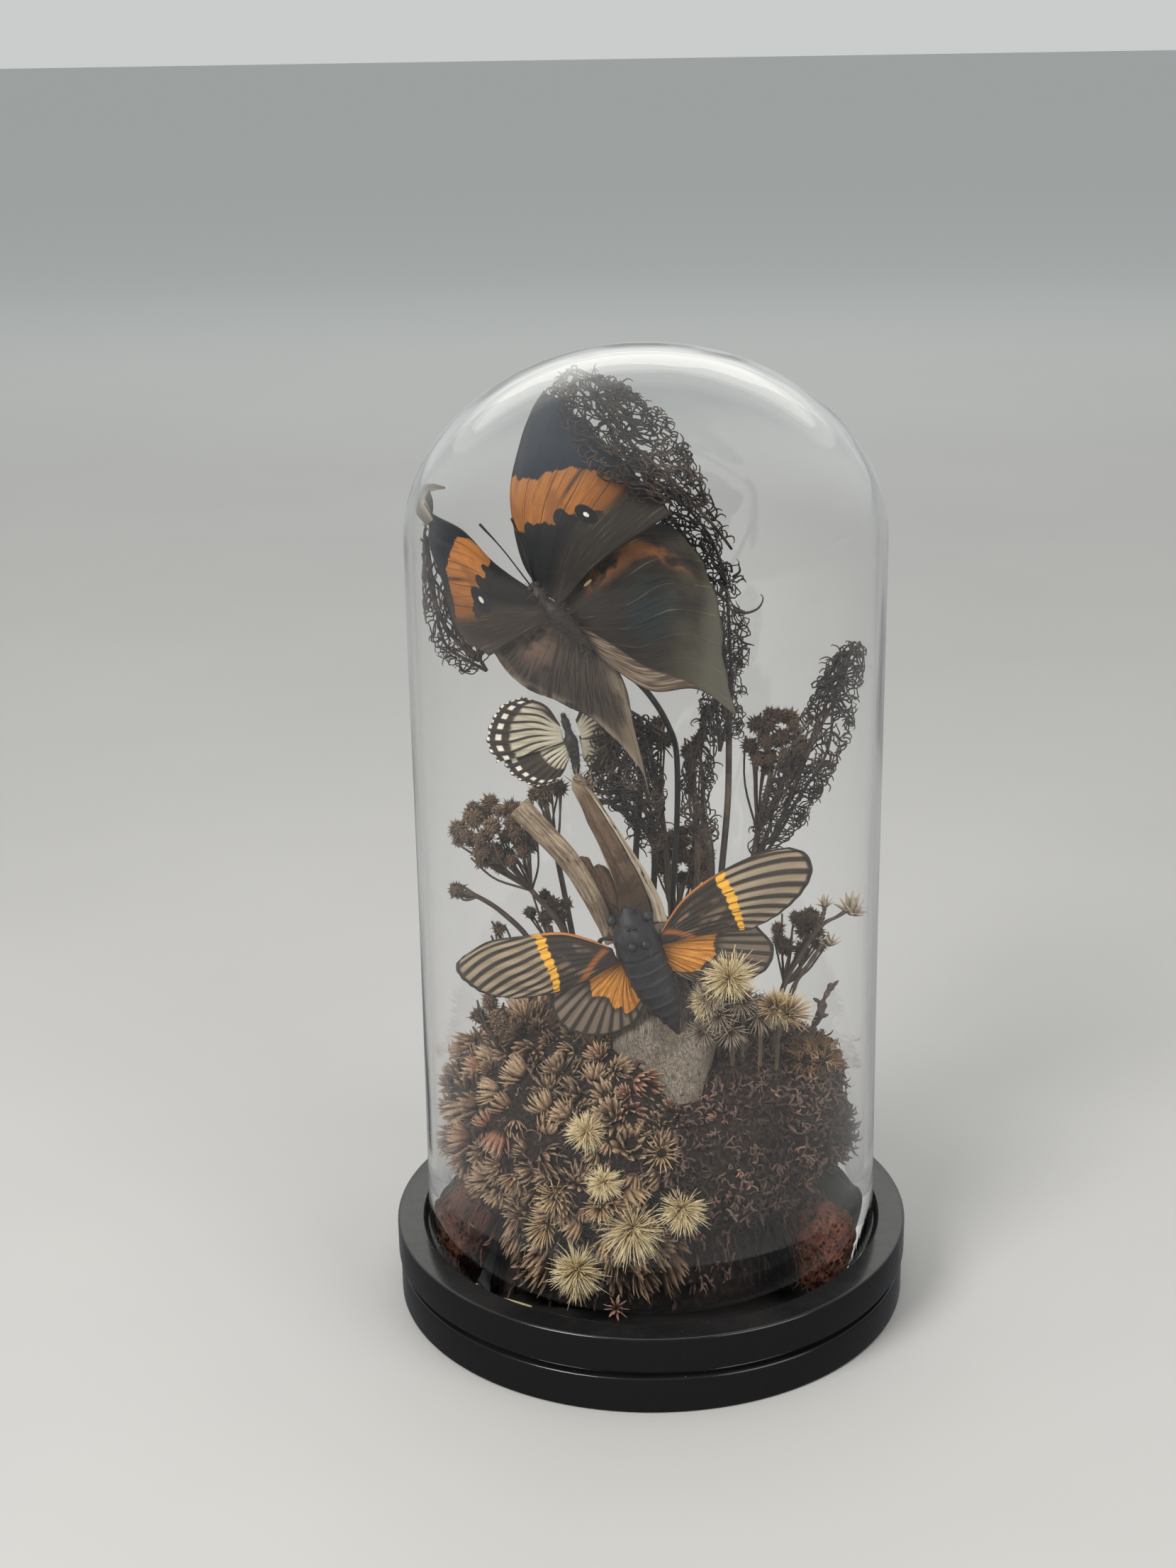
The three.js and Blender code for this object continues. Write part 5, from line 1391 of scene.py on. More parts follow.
def insect_black(name, deep=(0.007, 0.007, 0.009), pale=(0.06, 0.062, 0.072), gloss=0.28, ring_length=0.0):
    """Dark horn with a fine grain that is paler where it stands out, patches of paler painted sheen, and
    painted highlights on the raised edges of the body rings.
    """
    paint = Paint(name, 0.45)
    place = paint.place()
    grain = paint.noise(place, 2.6, 5, 0.65)
    # Paler patches: painted sheen.
    painted_sheen = paint.noise(place, 0.35, 3)
    colour = paint.mix(deep, pale, grain.rises(0.45, 0.75) * 0.6 | painted_sheen.rises(0.5, 0.8) * 0.7)
    if ring_length:
        along = paint.grain().axis(2)
        ring = (along * (1 / ring_length) - ABDOMEN * RINGS).math("FRACT")
        ring = ring.rises(0.65, 0.97) * along.rises(12.5, 13.5)
        # Paler lines on the raised hind edge of each ring: painted highlights.
        colour = paint.mix(colour, (0.08, 0.079, 0.085), ring * (grain * 0.9))
    return paint.finish(colour, gloss + 0.3 * grain, relief=grain, depth=0.12)


def rings_of_abdomen(share, angle):
    """The raised hind edge of each body ring, and the folds and lobes before them."""
    phase = (share - ABDOMEN) * RINGS
    step = phase - np.floor(phase)
    ring = np.where((share > ABDOMEN) & (share <= 0.93), 0.45 * step ** 4 - 0.05, 0.0)
    shoulders = 0.5 * np.exp(-((share - 0.2) / 0.05) ** 2) - 0.35 * np.exp(-((share - 0.115) / 0.018) ** 2)
    shoulders += -0.35 * np.exp(-((share - 0.345) / 0.015) ** 2)
    lobes = 0.22 * np.cos(3 * angle + 1.57) * np.exp(-((share - 0.22) / 0.09) ** 2)
    return ring + shoulders + lobes


def ball(centre, radius, count=16):
    """A small round body: a short tube that closes at both ends."""
    centre = np.array(centre, float)
    path = [centre - [0, 0, radius], centre, centre + [0, 0, radius]]
    share = np.linspace(0, 1, count)
    radii = radius * np.sqrt(np.maximum(1 - (2 * share - 1) ** 2, 0.0))
    return tube(path, radii, count, count * 2)


cicada_line = [[-5.2, -25, 112.2], [-4.2, -25.4, 108.4], [-2.4, -25.6, 103], [-0.2, -25.4, 96.6],
    [3.6, -24.6, 87.4], [7, -23.6, 79]]
cicada_radii = [0.9, 4.1, 4.9, 5.6, 5.1, 5.1, 4.6, 3.5, 1.9, 0.4]
legs = [
    [[-4.6, -24.4, 104], [-11.4, -19.4, 101.4], [-9.6, -15.6, 94.4]],
    [[-2.6, -24.4, 104], [5.8, -19.4, 102.4], [7.6, -15.4, 96.4]],
    [[-1.6, -24.4, 98.4], [-8.6, -19.8, 92.6], [-9.2, -14.4, 85]],
    [[-0.6, -24.4, 98], [8, -19.8, 93.4], [11, -15.4, 86]],
]
horn = [tube(cicada_line, cicada_radii, 36, 130, 0.85, rings_of_abdomen)]
horn += [ball(eye, 1.35) for eye in ([-8.6, -25.6, 109.0], [-0.2, -25.6, 110.2])]
horn += [ball(small_eye, 0.55, 12) for small_eye in ([-4.8, -29.3, 108.2], [-3.4, -29.5, 108.6])]
horn += [ball(hump, 1.3, 12) for hump in ([-3.8, -29.8, 104], [-0.6, -29.4, 104.4])]
knees = lambda share, angle: 0.12 * np.sin(26 * share)
horn += [tube(leg, [0.75, 0.55, 0.45, 0.3], 10, 26, 1, knees) for leg in legs]
for side in (-1, 1):
    feeler = np.array([-5 + side * 1.8, -26, 111.6])
    bent = [feeler, feeler + [side * 1.2, -1.2, 2], feeler + [side * 3, -1.8, 3.2]]
    horn.append(tube(bent, [0.22, 0.16, 0.08], 6, 12))
grown("cicada_horn", horn, insect_black("cicada_black", ring_length=3.13), "insect_body", "cicada_body")


def hair(length, radius, bend=0.5):
    share = np.linspace(0, 1, 4)[:, None]
    path = share * [0, 0, length] + share ** 2 * [bend * length, 0, -0.15 * bend * length]
    return motif(*strands([path], np.array([1, 0.8, 0.55, 0.12]) * radius))


def hair_finish(name, dark, pale):
    paint = Paint(name, 0.3)
    colour = paint.mix(paint.mix(dark, pale, paint.read("shade")), pale, paint.read("tip") * 0.4)
    return paint.finish(colour, 0.5 + 0.2 * paint.read("shade"))


def furred(name, body, finish, length, radius, spacing):
    """A cover of short bent hairs over an insect's body."""
    skin = make_mesh(name, *body[:2])
    hairs = [hair(length, radius), hair(length * 0.7, radius, 0.9)]
    scatter(name, skin, hairs, finish, "insect_body", Spacing=spacing, Tilt=0.7, Seed=2)


thorax = tube(cicada_line[:4], [1.2, 4.3, 5.2, 5.4, 5.1, 5.0], 24, 50, 0.85)
DOWN = hair_finish("black_down", (0.008, 0.008, 0.009), (0.055, 0.05, 0.048))
furred("cicada_down", thorax, DOWN, 1.0, 0.045, 0.8)


def vein_lines(paint, value, count, width):
    """1 on thin lines that divide a value into equal strips."""
    share = (value * count).math("FRACT")
    return abs(share - 0.5).rises(0.5 - width, 0.5 - width * 0.35)


def spot(s, t, place, reach):
    """How far a point lies from a spot's middle, where 1 is its edge."""
    across, down = (s - place[0]) * (1 / reach[0]), (t - place[1]) * (1 / reach[1])
    return (across * across + down * down).math("SQRT")


def film_wing(name, band, slope, strips, hazy):
    """Tan film between dark veins past a row of yellow blots, and smoky brown before it."""
    paint = Paint(name, 0.4)
    s, t = paint.map_axes()
    fine = paint.noise(paint.along(22, 60), 1, 4)
    smoke = paint.noise(paint.along(5, 3), 1, 4, 0.6)
    line = t - slope * (s - 0.55)
    veins = vein_lines(paint, line, strips, 0.34)
    middle = paint.curve(t, band)
    half = 0.021 + 0.012 * abs((line * strips * math.pi).math("SINE"))
    blots = s.between(middle - half, middle + half, 0.005)
    beyond = s.rises(middle + 0.01, middle + 0.035)
    rim = (s.rises(0.962, 0.98) | t.rises(0.035, 0.015) * s.rises(0.4, 0.6)) | t.rises(0.968, 0.985)
    root_arc = s.between(0.02 + 0.3 * t * t, 0.065 + 0.34 * t * t, 0.02) * t.rises(0.03, 0.3)
    edge = t.rises(0.04, 0.02) * s.between(0.03, middle - 0.01, 0.01)
    panels = (t.rises(0.1, 0.2) * s.between(0.14, middle - 0.04, 0.03)) * smoke.rises(0.46, 0.6)
    colour = paint.layers(
        (0.028, 0.02, 0.016),
        ((0.17, 0.115, 0.075), panels * (1 - vein_lines(paint, line * 0.8, strips, 0.3))),
        (paint.mix((0.31, 0.235, 0.155), (0.42, 0.34, 0.235), fine), beyond),
        (hazy, beyond * smoke.rises(0.5, 0.8) * 0.5),
        ((0.03, 0.022, 0.018), beyond * veins),
        ((0.42, 0.155, 0.035), edge),
        ((0.34, 0.12, 0.028), root_arc * 0.8),
        (paint.mix((0.8, 0.36, 0.03), (0.88, 0.52, 0.07), fine), blots),
        ((0.1, 0.035, 0.012), blots * vein_lines(paint, line * 1.0 + 0.04 * s, strips * 0.72, 0.07)),
        ((0.022, 0.017, 0.015), rim),
    )
    relief = veins * beyond + rim + 0.3 * fine
    return paint.finish(colour, 0.42 + 0.25 * fine, relief=relief, depth=0.12)


def fan_wing(name, edge, strips=11):
    """An orange base with a jagged border, then smoky film striped by veins."""
    paint = Paint(name, 0.35)
    s, t = paint.map_axes()
    fine = paint.noise(paint.along(8, 40), 1, 5)
    ray = vein_lines(paint, t, strips * 0.6, 0.05)
    jag = paint.curve(t, edge)
    ragged = paint.noise(paint.along(3, 26), 1, 3) - 0.5
    orange = s.rises(jag + 0.012 + 0.08 * ragged, jag - 0.012 + 0.08 * ragged)
    stripes = vein_lines(paint, t, strips, 0.3)
    rim = s.rises(0.95, 0.975) | t.rises(0.975, 0.99)
    colour = paint.layers(
        (0.2, 0.155, 0.115),
        ((0.036, 0.028, 0.024), stripes | rim),
        ((0.03, 0.022, 0.018), s.rises(jag + 0.12, jag) * 0.9),
        (paint.mix((0.4, 0.15, 0.026), (0.68, 0.3, 0.052), fine.rises(0.3, 0.7)), orange),
        ((0.16, 0.05, 0.012), orange * (ray | s.rises(0.22, 0.0) * 0.7)),
    )
    return paint.finish(colour, 0.45 + 0.25 * fine, relief=(stripes | ray) + 0.3 * fine, depth=0.12)


def wing_thickness(s, t):
    """A wing thins from its root and front edge to its margin."""
    return 0.16 + 0.3 * (1 - s) ** 3 + 0.14 * (1 - t) ** 6


# Each wing: its front edge, the points between on its margin, its hind edge, and how far it bulges.
cicada_wings = {
    "cicada_fore_right": (
        [[2.6, -26, 105.2], [5.2, -26.6, 110.4], [8, -27, 114.6], [11.9, -27, 118.2], [20, -25.6, 122.9],
            [27.6, -23.6, 125.4], [33, -22, 125.7]],
        [[36.9, -20.6, 123.7], [38.5, -20, 119.4], [36.9, -20, 114.7], [31.2, -21, 108.8]],
        [[2.8, -25.6, 102.8], [14.3, -24.6, 105], [23.9, -22.6, 105.2]], 1,
    ),
    "cicada_hind_right": (
        [[2.6, -24.2, 103.4], [14, -22.4, 105.2], [25.8, -20, 105.2]],
        [[29.8, -19, 99.4], [28.6, -19, 94.2], [24, -20, 91.4], [16, -20.6, 90.2]],
        [[3, -24.2, 98.2], [6.6, -23.6, 94.6], [9.6, -22, 92.2]], 0.6,
    ),
    "cicada_fore_left": (
        [[-8.4, -25.8, 101.9], [-13.4, -26.8, 104.6], [-19.9, -27, 106.6], [-29.7, -25.6, 105.2],
            [-37.8, -23, 102.8], [-43.4, -20.6, 98.4]],
        [[-45.6, -19.8, 95.5], [-44.8, -19.8, 92.6], [-39.5, -20.6, 88.5]],
        [[-7.2, -25.6, 98.6], [-19.5, -24.4, 90.8], [-31.7, -22, 87.5]], 1,
    ),
    "cicada_hind_left": (
        [[-6.8, -24, 98.8], [-15.6, -22.6, 95], [-23, -21.2, 89.6]],
        [[-22.8, -21, 83.6], [-19.9, -20.4, 78.8], [-12, -20.8, 77.2], [-4.4, -22, 80.6]],
        [[-5, -24.2, 95.2], [-3.6, -23.6, 90.6], [-1, -23, 86.6]], 0.6,
    ),
}
right_band = [(0, 0.56), (0.1, 0.505), (0.2, 0.5), (0.3, 0.51), (0.4, 0.53), (0.5, 0.555), (0.6, 0.6),
    (0.7, 0.65), (0.8, 0.715), (0.9, 0.8), (1, 0.91)]
left_band = [(0, 0.5), (0.07, 0.45), (0.2, 0.435), (0.4, 0.435), (0.5, 0.445), (0.6, 0.46), (0.7, 0.485),
    (0.8, 0.52), (0.9, 0.565), (1, 0.63)]
right_border = [(0, 0.62), (0.1, 0.52), (0.2, 0.47), (0.35, 0.5), (0.5, 0.46), (0.65, 0.52), (0.8, 0.48),
    (1, 0.4)]
left_border = [(0, 0.58), (0.1, 0.5), (0.18, 0.42), (0.27, 0.46), (0.36, 0.5), (0.45, 0.44), (0.55, 0.46),
    (0.66, 0.62), (0.74, 0.6), (0.77, 0.75), (0.86, 0.8), (1, 0.85)]
cicada_finish = {
    "cicada_fore_right": (film_wing("right_film", right_band, 0.2, 9, (0.24, 0.19, 0.14)),
        "cicada_forewing"),
    "cicada_fore_left": (film_wing("left_film", left_band, 0.5, 9, (0.22, 0.18, 0.14)), "cicada_forewing"),
    "cicada_hind_right": (fan_wing("right_fan", right_border), "cicada_hindwing"),
    "cicada_hind_left": (fan_wing("left_fan", left_border), "cicada_hindwing"),
}


def pleats(depth, count):
    return lambda s, t: depth * np.sin(2 * np.pi * count * t) * np.minimum(1, 3 * s)


for name, wing in cicada_wings.items():
    finish, slot = cicada_finish[name]
    made = sheet(patch(*wing), wing_thickness, 56, 46, relief=pleats(0.12, 9))
    fit_sheet(name + "_film", made, finish, slot, name)


# Leaf butterfly: a large dead-leaf butterfly near the crown, its upper side forward and its head
# to the upper left. A stiff black wire from the moss is glued to its underside.
leaf_wings = {
    "leaf_fore_left": (
        [[-25.4, -12.2, 185], [-33.6, -13, 191.3], [-41.6, -12, 199.4], [-49, -7.5, 203],
            [-50.8, -5.6, 205.8], [-49.2, -7, 208]],
        [[-48.4, -6.6, 205.5], [-49.8, -4.2, 197], [-48.6, -4, 188], [-46.4, -4, 180], [-43, -6, 173]],
        [[-21, -11.8, 179.6], [-29.9, -11, 173.8], [-36.8, -9, 169]], 2,
    ),
    "leaf_fore_right": (
        [[-23.6, -11.6, 184.8], [-27.7, -12.6, 191.2], [-30.1, -11.5, 200.8], [-30.5, -9.5, 209.4],
            [-28.5, -7, 217.6], [-25.9, -4.5, 224.8], [-22.4, -2, 230]],
        [[-15.2, -3.5, 224.5], [-8, -6, 217.5], [-0.7, -8.6, 210.4]],
        [[-19.6, -12.2, 182.4], [-9.8, -13, 192.5], [6.5, -11, 203]], 3,
    ),
    "leaf_hind_left": (
        [[-22, -9.6, 182], [-29.2, -7.8, 176.4], [-36, -6.8, 169.4]],
        [[-30.6, -7, 162], [-20.4, -8, 157], [-10.4, -9, 151.2], [-1.4, -11, 141.4]],
        [[-13.4, -9.8, 173], [-7.6, -9.6, 167.2], [-4.6, -10.4, 161], [-2.9, -11.8, 152],
            [0.7, -12, 135.2]], 1.5,
    ),
    "leaf_hind_right": (
        [[-20.4, -10.2, 182], [-13.6, -9.4, 190.6], [-4.9, -7.4, 199.4], [6.5, -5.4, 198.8]],
        [[12.8, -4.6, 191.1], [17, -4.6, 180], [18.6, -6, 166.8]],
        [[-14, -10.2, 172.6], [-7, -11.6, 166.2], [1.5, -11.8, 161], [11.6, -11, 161.2], [21.3, -9, 153.9]],
            3,
    ),
}
LEAF_ORANGE = ((0.28, 0.095, 0.022), (0.47, 0.185, 0.045))
SOOT = (0.012, 0.013, 0.016)


def scale_streaks(paint):
    """Fine streaks of wing scales that run out from the root."""
    return paint.noise(paint.along(4, 60), 1)


def scale_rows(paint):
    """Short rows of wing scales."""
    return paint.noise(paint.along(40, 60), 1)


def leaf_forewing(name, low, high, tip, inner, hind, eye, notch, scallop, lines, painted_light_on_orange=1.0):
    """Sooty ground with a slanting orange band, a clear eye in a black ring and a brown hind part. The
    orange can be dimmed on one wing, as painted shade.
    """
    paint = Paint(name, 0.3)
    s, t = paint.map_axes()
    streak, speck = scale_streaks(paint), scale_rows(paint)
    ragged = (paint.noise(paint.along(2, 24), 1, 2) - 0.5) * 0.07
    # The orange is scaled down on a wing given a factor below 1: painted shade.
    dark, bright = (tuple(painted_light_on_orange * part for part in tone) for tone in LEAF_ORANGE)
    orange = s.between(paint.curve(t, low) + ragged, paint.curve(t, high) + ragged, 0.006)
    orange = orange * t.rises(0.76, 0.6)
    cloud = paint.noise(paint.along(4, 4), 1, 4)
    from_eye = spot(s, t, eye[0], eye[1])
    veins = vein_lines(paint, t + 0.05 * s, lines, 0.035)
    colour = paint.layers(
        paint.tones(inner, 0.7, 1.4, streak.rises(0.4, 0.75)),
        (paint.tones(tip, 1, 2.2, cloud.rises(0.35, 0.7)), s.rises(0.5, 0.62) * t.rises(0.7, 0.5)),
        (paint.tones(hind, 1, 1.7, streak.rises(0.35, 0.7)), t.rises(0.5, 0.68)),
        ((0.3, 0.2, 0.12), t.rises(0.5, 0.65) * streak.rises(0.6, 0.72) * 0.3),
        (SOOT, t.rises(0.05, 0.02)),
        (paint.mix(dark, bright, streak.rises(0.3, 0.65)), orange),
        ((0.15, 0.055, 0.018), orange * (speck.rises(0.58, 0.72) | cloud.rises(0.48, 0.62)) * 0.6),
        ((0.2, 0.075, 0.022), orange * t.rises(0.5, 0.7)),
        (SOOT, spot(s + 0.4 * ragged, t, *notch).rises(1.08, 0.95)),
        (SOOT, spot(s - 0.3 * ragged, t, *scallop).rises(1.08, 0.95)),
        ((0.004, 0.005, 0.009), abs(t - 0.34 - 0.12 * s).rises(0.03, 0.0) * s.rises(0.55, 0.7) * 0.8),
        (SOOT, from_eye.rises(4.2, 3.6)),
        ((0.7, 0.68, 0.62), from_eye.rises(1.05, 0.9)),
        (SOOT, veins * (0.25 + 0.35 * orange)),
    )
    return paint.finish(colour, 0.5 + 0.3 * streak, relief=veins, depth=0.05)


def leaf_hindwing_right():
    """Dark brown with a blue-green middle, an arc of rust, and a grey-brown folded inner margin."""
    paint = Paint("leaf_hind_right_scales", 0.3)
    s, t = paint.map_axes()
    streak = scale_streaks(paint)
    cloud = paint.noise(paint.along(5, 5), 1, 4)
    veins = vein_lines(paint, t + 0.06 * s, 7, 0.03)
    way = paint.curve(s, [(0, 0.2), (0.3, 0.15), (0.6, 0.14), (0.75, 0.22), (1, 0.4)])
    arc = abs(t - way + 0.3 * (cloud - 0.5)).rises(0.09, 0.0) * cloud.rises(0.38, 0.55)
    fold = (t - paint.curve(s, [(0, 0.5), (0.12, 0.6), (0.5, 0.84), (0.75, 1), (1, 1)])).rises(-0.006, 0.02)
    middle = spot(s, t, (0.57, 0.5), (0.22, 0.24)).rises(1.2, 0.3)
    colour = paint.layers(
        paint.mix((0.009, 0.007, 0.0055), (0.026, 0.018, 0.013), streak.rises(0.35, 0.7)),
        ((0.008, 0.024, 0.026), middle * streak.rises(0.35, 0.65)),
        ((0.046, 0.042, 0.026), (s + 0.3 * t).rises(0.75, 1.0) * cloud.rises(0.35, 0.65)),
        ((0.09, 0.086, 0.064), (s + 0.4 * t).rises(1.02, 1.2) * 0.8),
        (paint.mix((0.17, 0.055, 0.018), (0.3, 0.12, 0.04), streak),
            arc * s.between(0.25, 0.85, 0.08) * 0.8),
        (SOOT, t.rises(0.08, 0.03)),
        ((0.3, 0.26, 0.2), veins * streak.rises(0.45, 0.7) * 0.35),
        (paint.mix((0.07, 0.048, 0.034), (0.25, 0.195, 0.145), streak.rises(0.42, 0.62)), fold),
        ((0.045, 0.03, 0.022), abs(fold - 0.5).rises(0.5, 0.1) * 0.8),
        ((0.75, 0.66, 0.42), spot(s, t, (0.255, 0.12), (0.035, 0.014)).rises(1.1, 0.8)),
    )
    return paint.finish(colour, 0.5 + 0.3 * streak, relief=veins, depth=0.05)


def leaf_hindwing_left():
    paint = Paint("leaf_hind_left_scales", 0.25)
    s, t = paint.map_axes()
    streak, speck = scale_streaks(paint), scale_rows(paint)
    cloud = paint.noise(paint.along(4, 5), 1, 4)
    veins = vein_lines(paint, t, 8, 0.04)
    colour = paint.layers(
        paint.mix((0.02, 0.015, 0.012), (0.055, 0.042, 0.033), streak.rises(0.38, 0.62)),
        ((0.16, 0.098, 0.068),
            t.rises(0.42, 0.1) * s.rises(0.1, 0.3) * s.rises(0.85, 0.5) * cloud.rises(0.35, 0.55)),
        ((0.014, 0.013, 0.014), s.rises(0.32, 0.05)),
        ((0.17, 0.135, 0.1), t.rises(0.62, 0.9) * s.rises(0.1, 0.4) * cloud.rises(0.38, 0.6)),
        ((0.23, 0.185, 0.14), s.rises(0.88, 1.0) * cloud.rises(0.4, 0.55)),
        ((0.028, 0.02, 0.017), abs(t - 0.3 - 0.04 * s).rises(0.018, 0.006) * s.rises(0.25, 0.4)),
        ((0.03, 0.024, 0.02), veins * 0.45),
        ((0.14, 0.11, 0.085), speck.rises(0.64, 0.72) * 0.4),
    )
    return paint.finish(colour, 0.6 + 0.3 * streak, relief=veins, depth=0.05)


leaf_finish = {
    "leaf_fore_left": leaf_forewing(
        "leaf_fore_left_scales",
        [(0, 0.35), (0.1, 0.37), (0.2, 0.41), (0.3, 0.43), (0.34, 0.45), (0.37, 0.52), (0.48, 0.53),
            (0.55, 0.61), (0.66, 0.7)],
        [(0, 0.44), (0.05, 0.56), (0.1, 0.64), (0.2, 0.68), (0.3, 0.73), (0.4, 0.78), (0.5, 0.81),
            (0.62, 0.86), (0.75, 0.94)],
        (0.008, 0.01, 0.013), (0.009, 0.008, 0.008), (0.026, 0.019, 0.014),
        ((0.56, 0.57), (0.019, 0.03)), ((0.49, 0.4), (0.045, 0.07)), ((0.4, 0.22), (0.05, 0.045)), 6,
    ),
    "leaf_fore_right": leaf_forewing(
        "leaf_fore_right_scales",
        [(0, 0.33), (0.1, 0.34), (0.2, 0.36), (0.27, 0.42), (0.35, 0.455), (0.44, 0.47), (0.5, 0.57),
            (0.6, 0.6), (0.68, 0.7)],
        [(0, 0.57), (0.1, 0.585), (0.2, 0.62), (0.23, 0.68), (0.3, 0.73), (0.4, 0.8), (0.5, 0.84),
            (0.6, 0.88), (0.72, 0.96)],
        (0.004, 0.008, 0.016), (0.008, 0.009, 0.01), (0.022, 0.019, 0.016),
        ((0.625, 0.63), (0.012, 0.025)), ((0.525, 0.47), (0.05, 0.065)), ((0.36, 0.2), (0.045, 0.06)), 6,
            # The orange of this wing is painted darker, as painted shade.
            0.72,
    ),
    "leaf_hind_left": leaf_hindwing_left(),
    "leaf_hind_right": leaf_hindwing_right(),
}


def worn_margin(depth, waves, seed):
    """A margin that is a little scalloped and worn."""
    return lambda t: 1 - depth * (0.5
        + 0.5 * np.sin(waves * t + seed)) - 0.4 * depth * np.abs(np.sin(3.1 * waves * t))


for number, (name, wing) in enumerate(leaf_wings.items()):
    ripple = lambda s, t: 0.25 * np.sin(15 * t + 3) * s + 0.3 * np.sin(9 * s + 5 * t) * s
    made = sheet(patch(*wing), wing_thickness, 60, 54, margin=worn_margin(0.012, 34, number), relief=ripple)
    fit_sheet(name + "_scales", made, leaf_finish[name], "leaf_wing", name)

tail_line = [[-49.4, -6.6, 200.4], [-51.2, -6, 202.8], [-52, -5.6, 205.2], [-51, -6, 207.5],
    [-48.9, -6.6, 208.4], [-45.6, -7.4, 208.5]]
tail_curl = tube(tail_line, [1.4, 1.7, 1.5, 1.2, 0.8, 0.25], 12, 60, 0.22)
TAIL = star_finish("dry_wing_tail", (0.1, 0.082, 0.065), (0.24, 0.2, 0.15), (0.36, 0.31, 0.24))
grown("leaf_wing_tail", [tail_curl], TAIL, "leaf_wing")

leaf_line = [[-26.4, -12, 186.8], [-24.4, -12.6, 184.4], [-21, -13, 180.6], [-17, -12.8, 176],
    [-12.6, -12.2, 171.2]]
leaf_radii = [0.7, 1.5, 1.2, 2.3, 2.5, 2.2, 1.7, 1.3, 0.5]
leaf_body = [tube(leaf_line, leaf_radii, 24, 80, 1, lambda share, angle: 0.08 * np.sin(60 * share))]
leaf_body += [ball(eye, 0.75) for eye in ([-26.5, -13.2, 186.1], [-25.1, -12.6, 187])]
feelers = [[-26.4, -12.6, 186.6], [-33.2, -16, 197], [-37, -18.5, 202.2]]
feelers = feelers, [[-25.6, -12.6, 186.8], [-28.1, -16.5, 198], [-29.9, -18.5, 203.5]]
leaf_body += [tube(feeler, [0.2, 0.17, 0.17, 0.34], 8, 40) for feeler in feelers]
BROWN_HORN = insect_black("brown_black_horn", (0.012, 0.01, 0.009), (0.055, 0.042, 0.033))
grown("leaf_butterfly_body", leaf_body, BROWN_HORN, "insect_body", "leaf_body")
leaf_skin = tube(leaf_line, np.array(leaf_radii) + 0.05, 16, 60)
OLIVE_FUR = hair_finish("olive_fur", (0.022, 0.018, 0.014), (0.13, 0.105, 0.08))
furred("leaf_butterfly_fur", leaf_skin, OLIVE_FUR, 1.9, 0.05, 0.5)
wire_path = [[-16.6, -8.9, 176.2], [-8, -7.2, 167.2], [-1.1, -8.6, 161.4], [2.4, -7.4, 156.4],
    [5.2, -4, 150], [7, 1, 143]]
wire_path += [[7.4, 3.2, 128], [6, 3.4, 100], [6, 3, 65]]


def wire_black():
    paint = Paint("painted_wire", Metallic=0.3)
    rub = paint.noise(paint.grain(3, 3, 0.6), 1, 4)
    colour = paint.mix((0.01, 0.01, 0.011), (0.075, 0.072, 0.07), rub.rises(0.55, 0.8))
    return paint.finish(colour, 0.35 + 0.3 * rub, relief=rub, depth=0.05)


grown("black_wire", [tube(wire_path, [0.72], 12, 120)], wire_black(), "wire", "leaf_wire")


# White butterfly: a small one behind the leaf butterfly's tail, its right wings against the centre
# plume, which holds it. Cream cells lie between black veins, and the scalloped black margin has
# two rows of white dots.
white_wings = {
    "white_fore_left": (
        [[-21.4, 9, 147], [-24.6, 8.4, 151.8], [-30.6, 9, 154]],
        [[-35.9, 10, 151.8], [-39.4, 11, 146.5], [-40.2, 11, 141]],
        [[-20.4, 9.2, 142.4], [-28, 9.6, 139.4], [-37.6, 10, 136.7]], 0.8,
    ),
    "white_hind_left": (
        [[-18.6, 10.4, 143.2], [-28, 11.2, 140.6], [-37, 11.6, 137.6]],
        [[-34, 11, 132.8], [-27.5, 10.2, 130.2]],
        [[-19, 10.2, 138.2], [-20.4, 10, 134.6], [-22.4, 10, 131.6]], 0.6,
    ),
    "white_fore_right": (
        [[-17.4, 9.4, 147.6], [-15, 10.4, 153], [-12, 12.4, 157.4]],
        [[-8, 14.4, 153], [-6, 15.4, 148]],
        [[-16, 9.6, 143], [-11.4, 12, 143], [-6.4, 15, 143.6]], 0.8,
    ),
    "white_hind_right": (
        [[-16.6, 10.4, 143.4], [-11.4, 13, 143.8], [-6.4, 15.6, 144]],
        [[-6.8, 14.8, 137], [-9.6, 12.8, 133]],
        [[-15.6, 9.8, 137.8], [-14.4, 10.6, 135], [-13.2, 11, 132.6]], 0.6,
    ),
}


def cream_wing(name, dark_share):
    paint = Paint(name, 0.25)
    s, t = paint.map_axes()
    streak = scale_streaks(paint)
    bend = t + 0.05 * (s * 6).math("SINE")
    veins = vein_lines(paint, bend, 7, 0.23) * s.rises(0.08, 0.3)
    ragged = (paint.noise(paint.along(2, 22), 1, 2) - 0.5) * 0.1
    margin = s.rises(dark_share - 0.03 + ragged, dark_share + 0.02 + ragged)
    front = t.rises(0.2, 0.12) * s.rises(0.75, 0.3) | t.rises(0.07, 0.03)
    cell = abs((bend * 7).math("FRACT") - 0.5)
    inner_dots = cell.rises(0.3, 0.2) * s.between(0.79, 0.86, 0.01)
    half_cell = abs((bend * 14).math("FRACT") - 0.5)
    dots = inner_dots | (half_cell.rises(0.32, 0.22) * s.between(0.93, 0.965, 0.008))
    colour = paint.layers(
        paint.mix((0.43, 0.39, 0.29), (0.63, 0.59, 0.47), streak.rises(0.38, 0.62)),
        ((0.04, 0.03, 0.024), veins | margin | front),
        ((0.8, 0.77, 0.68), dots * margin),
    )
    return paint.finish(colour, 0.6 + 0.3 * streak, relief=veins + 0.3 * streak, depth=0.06)


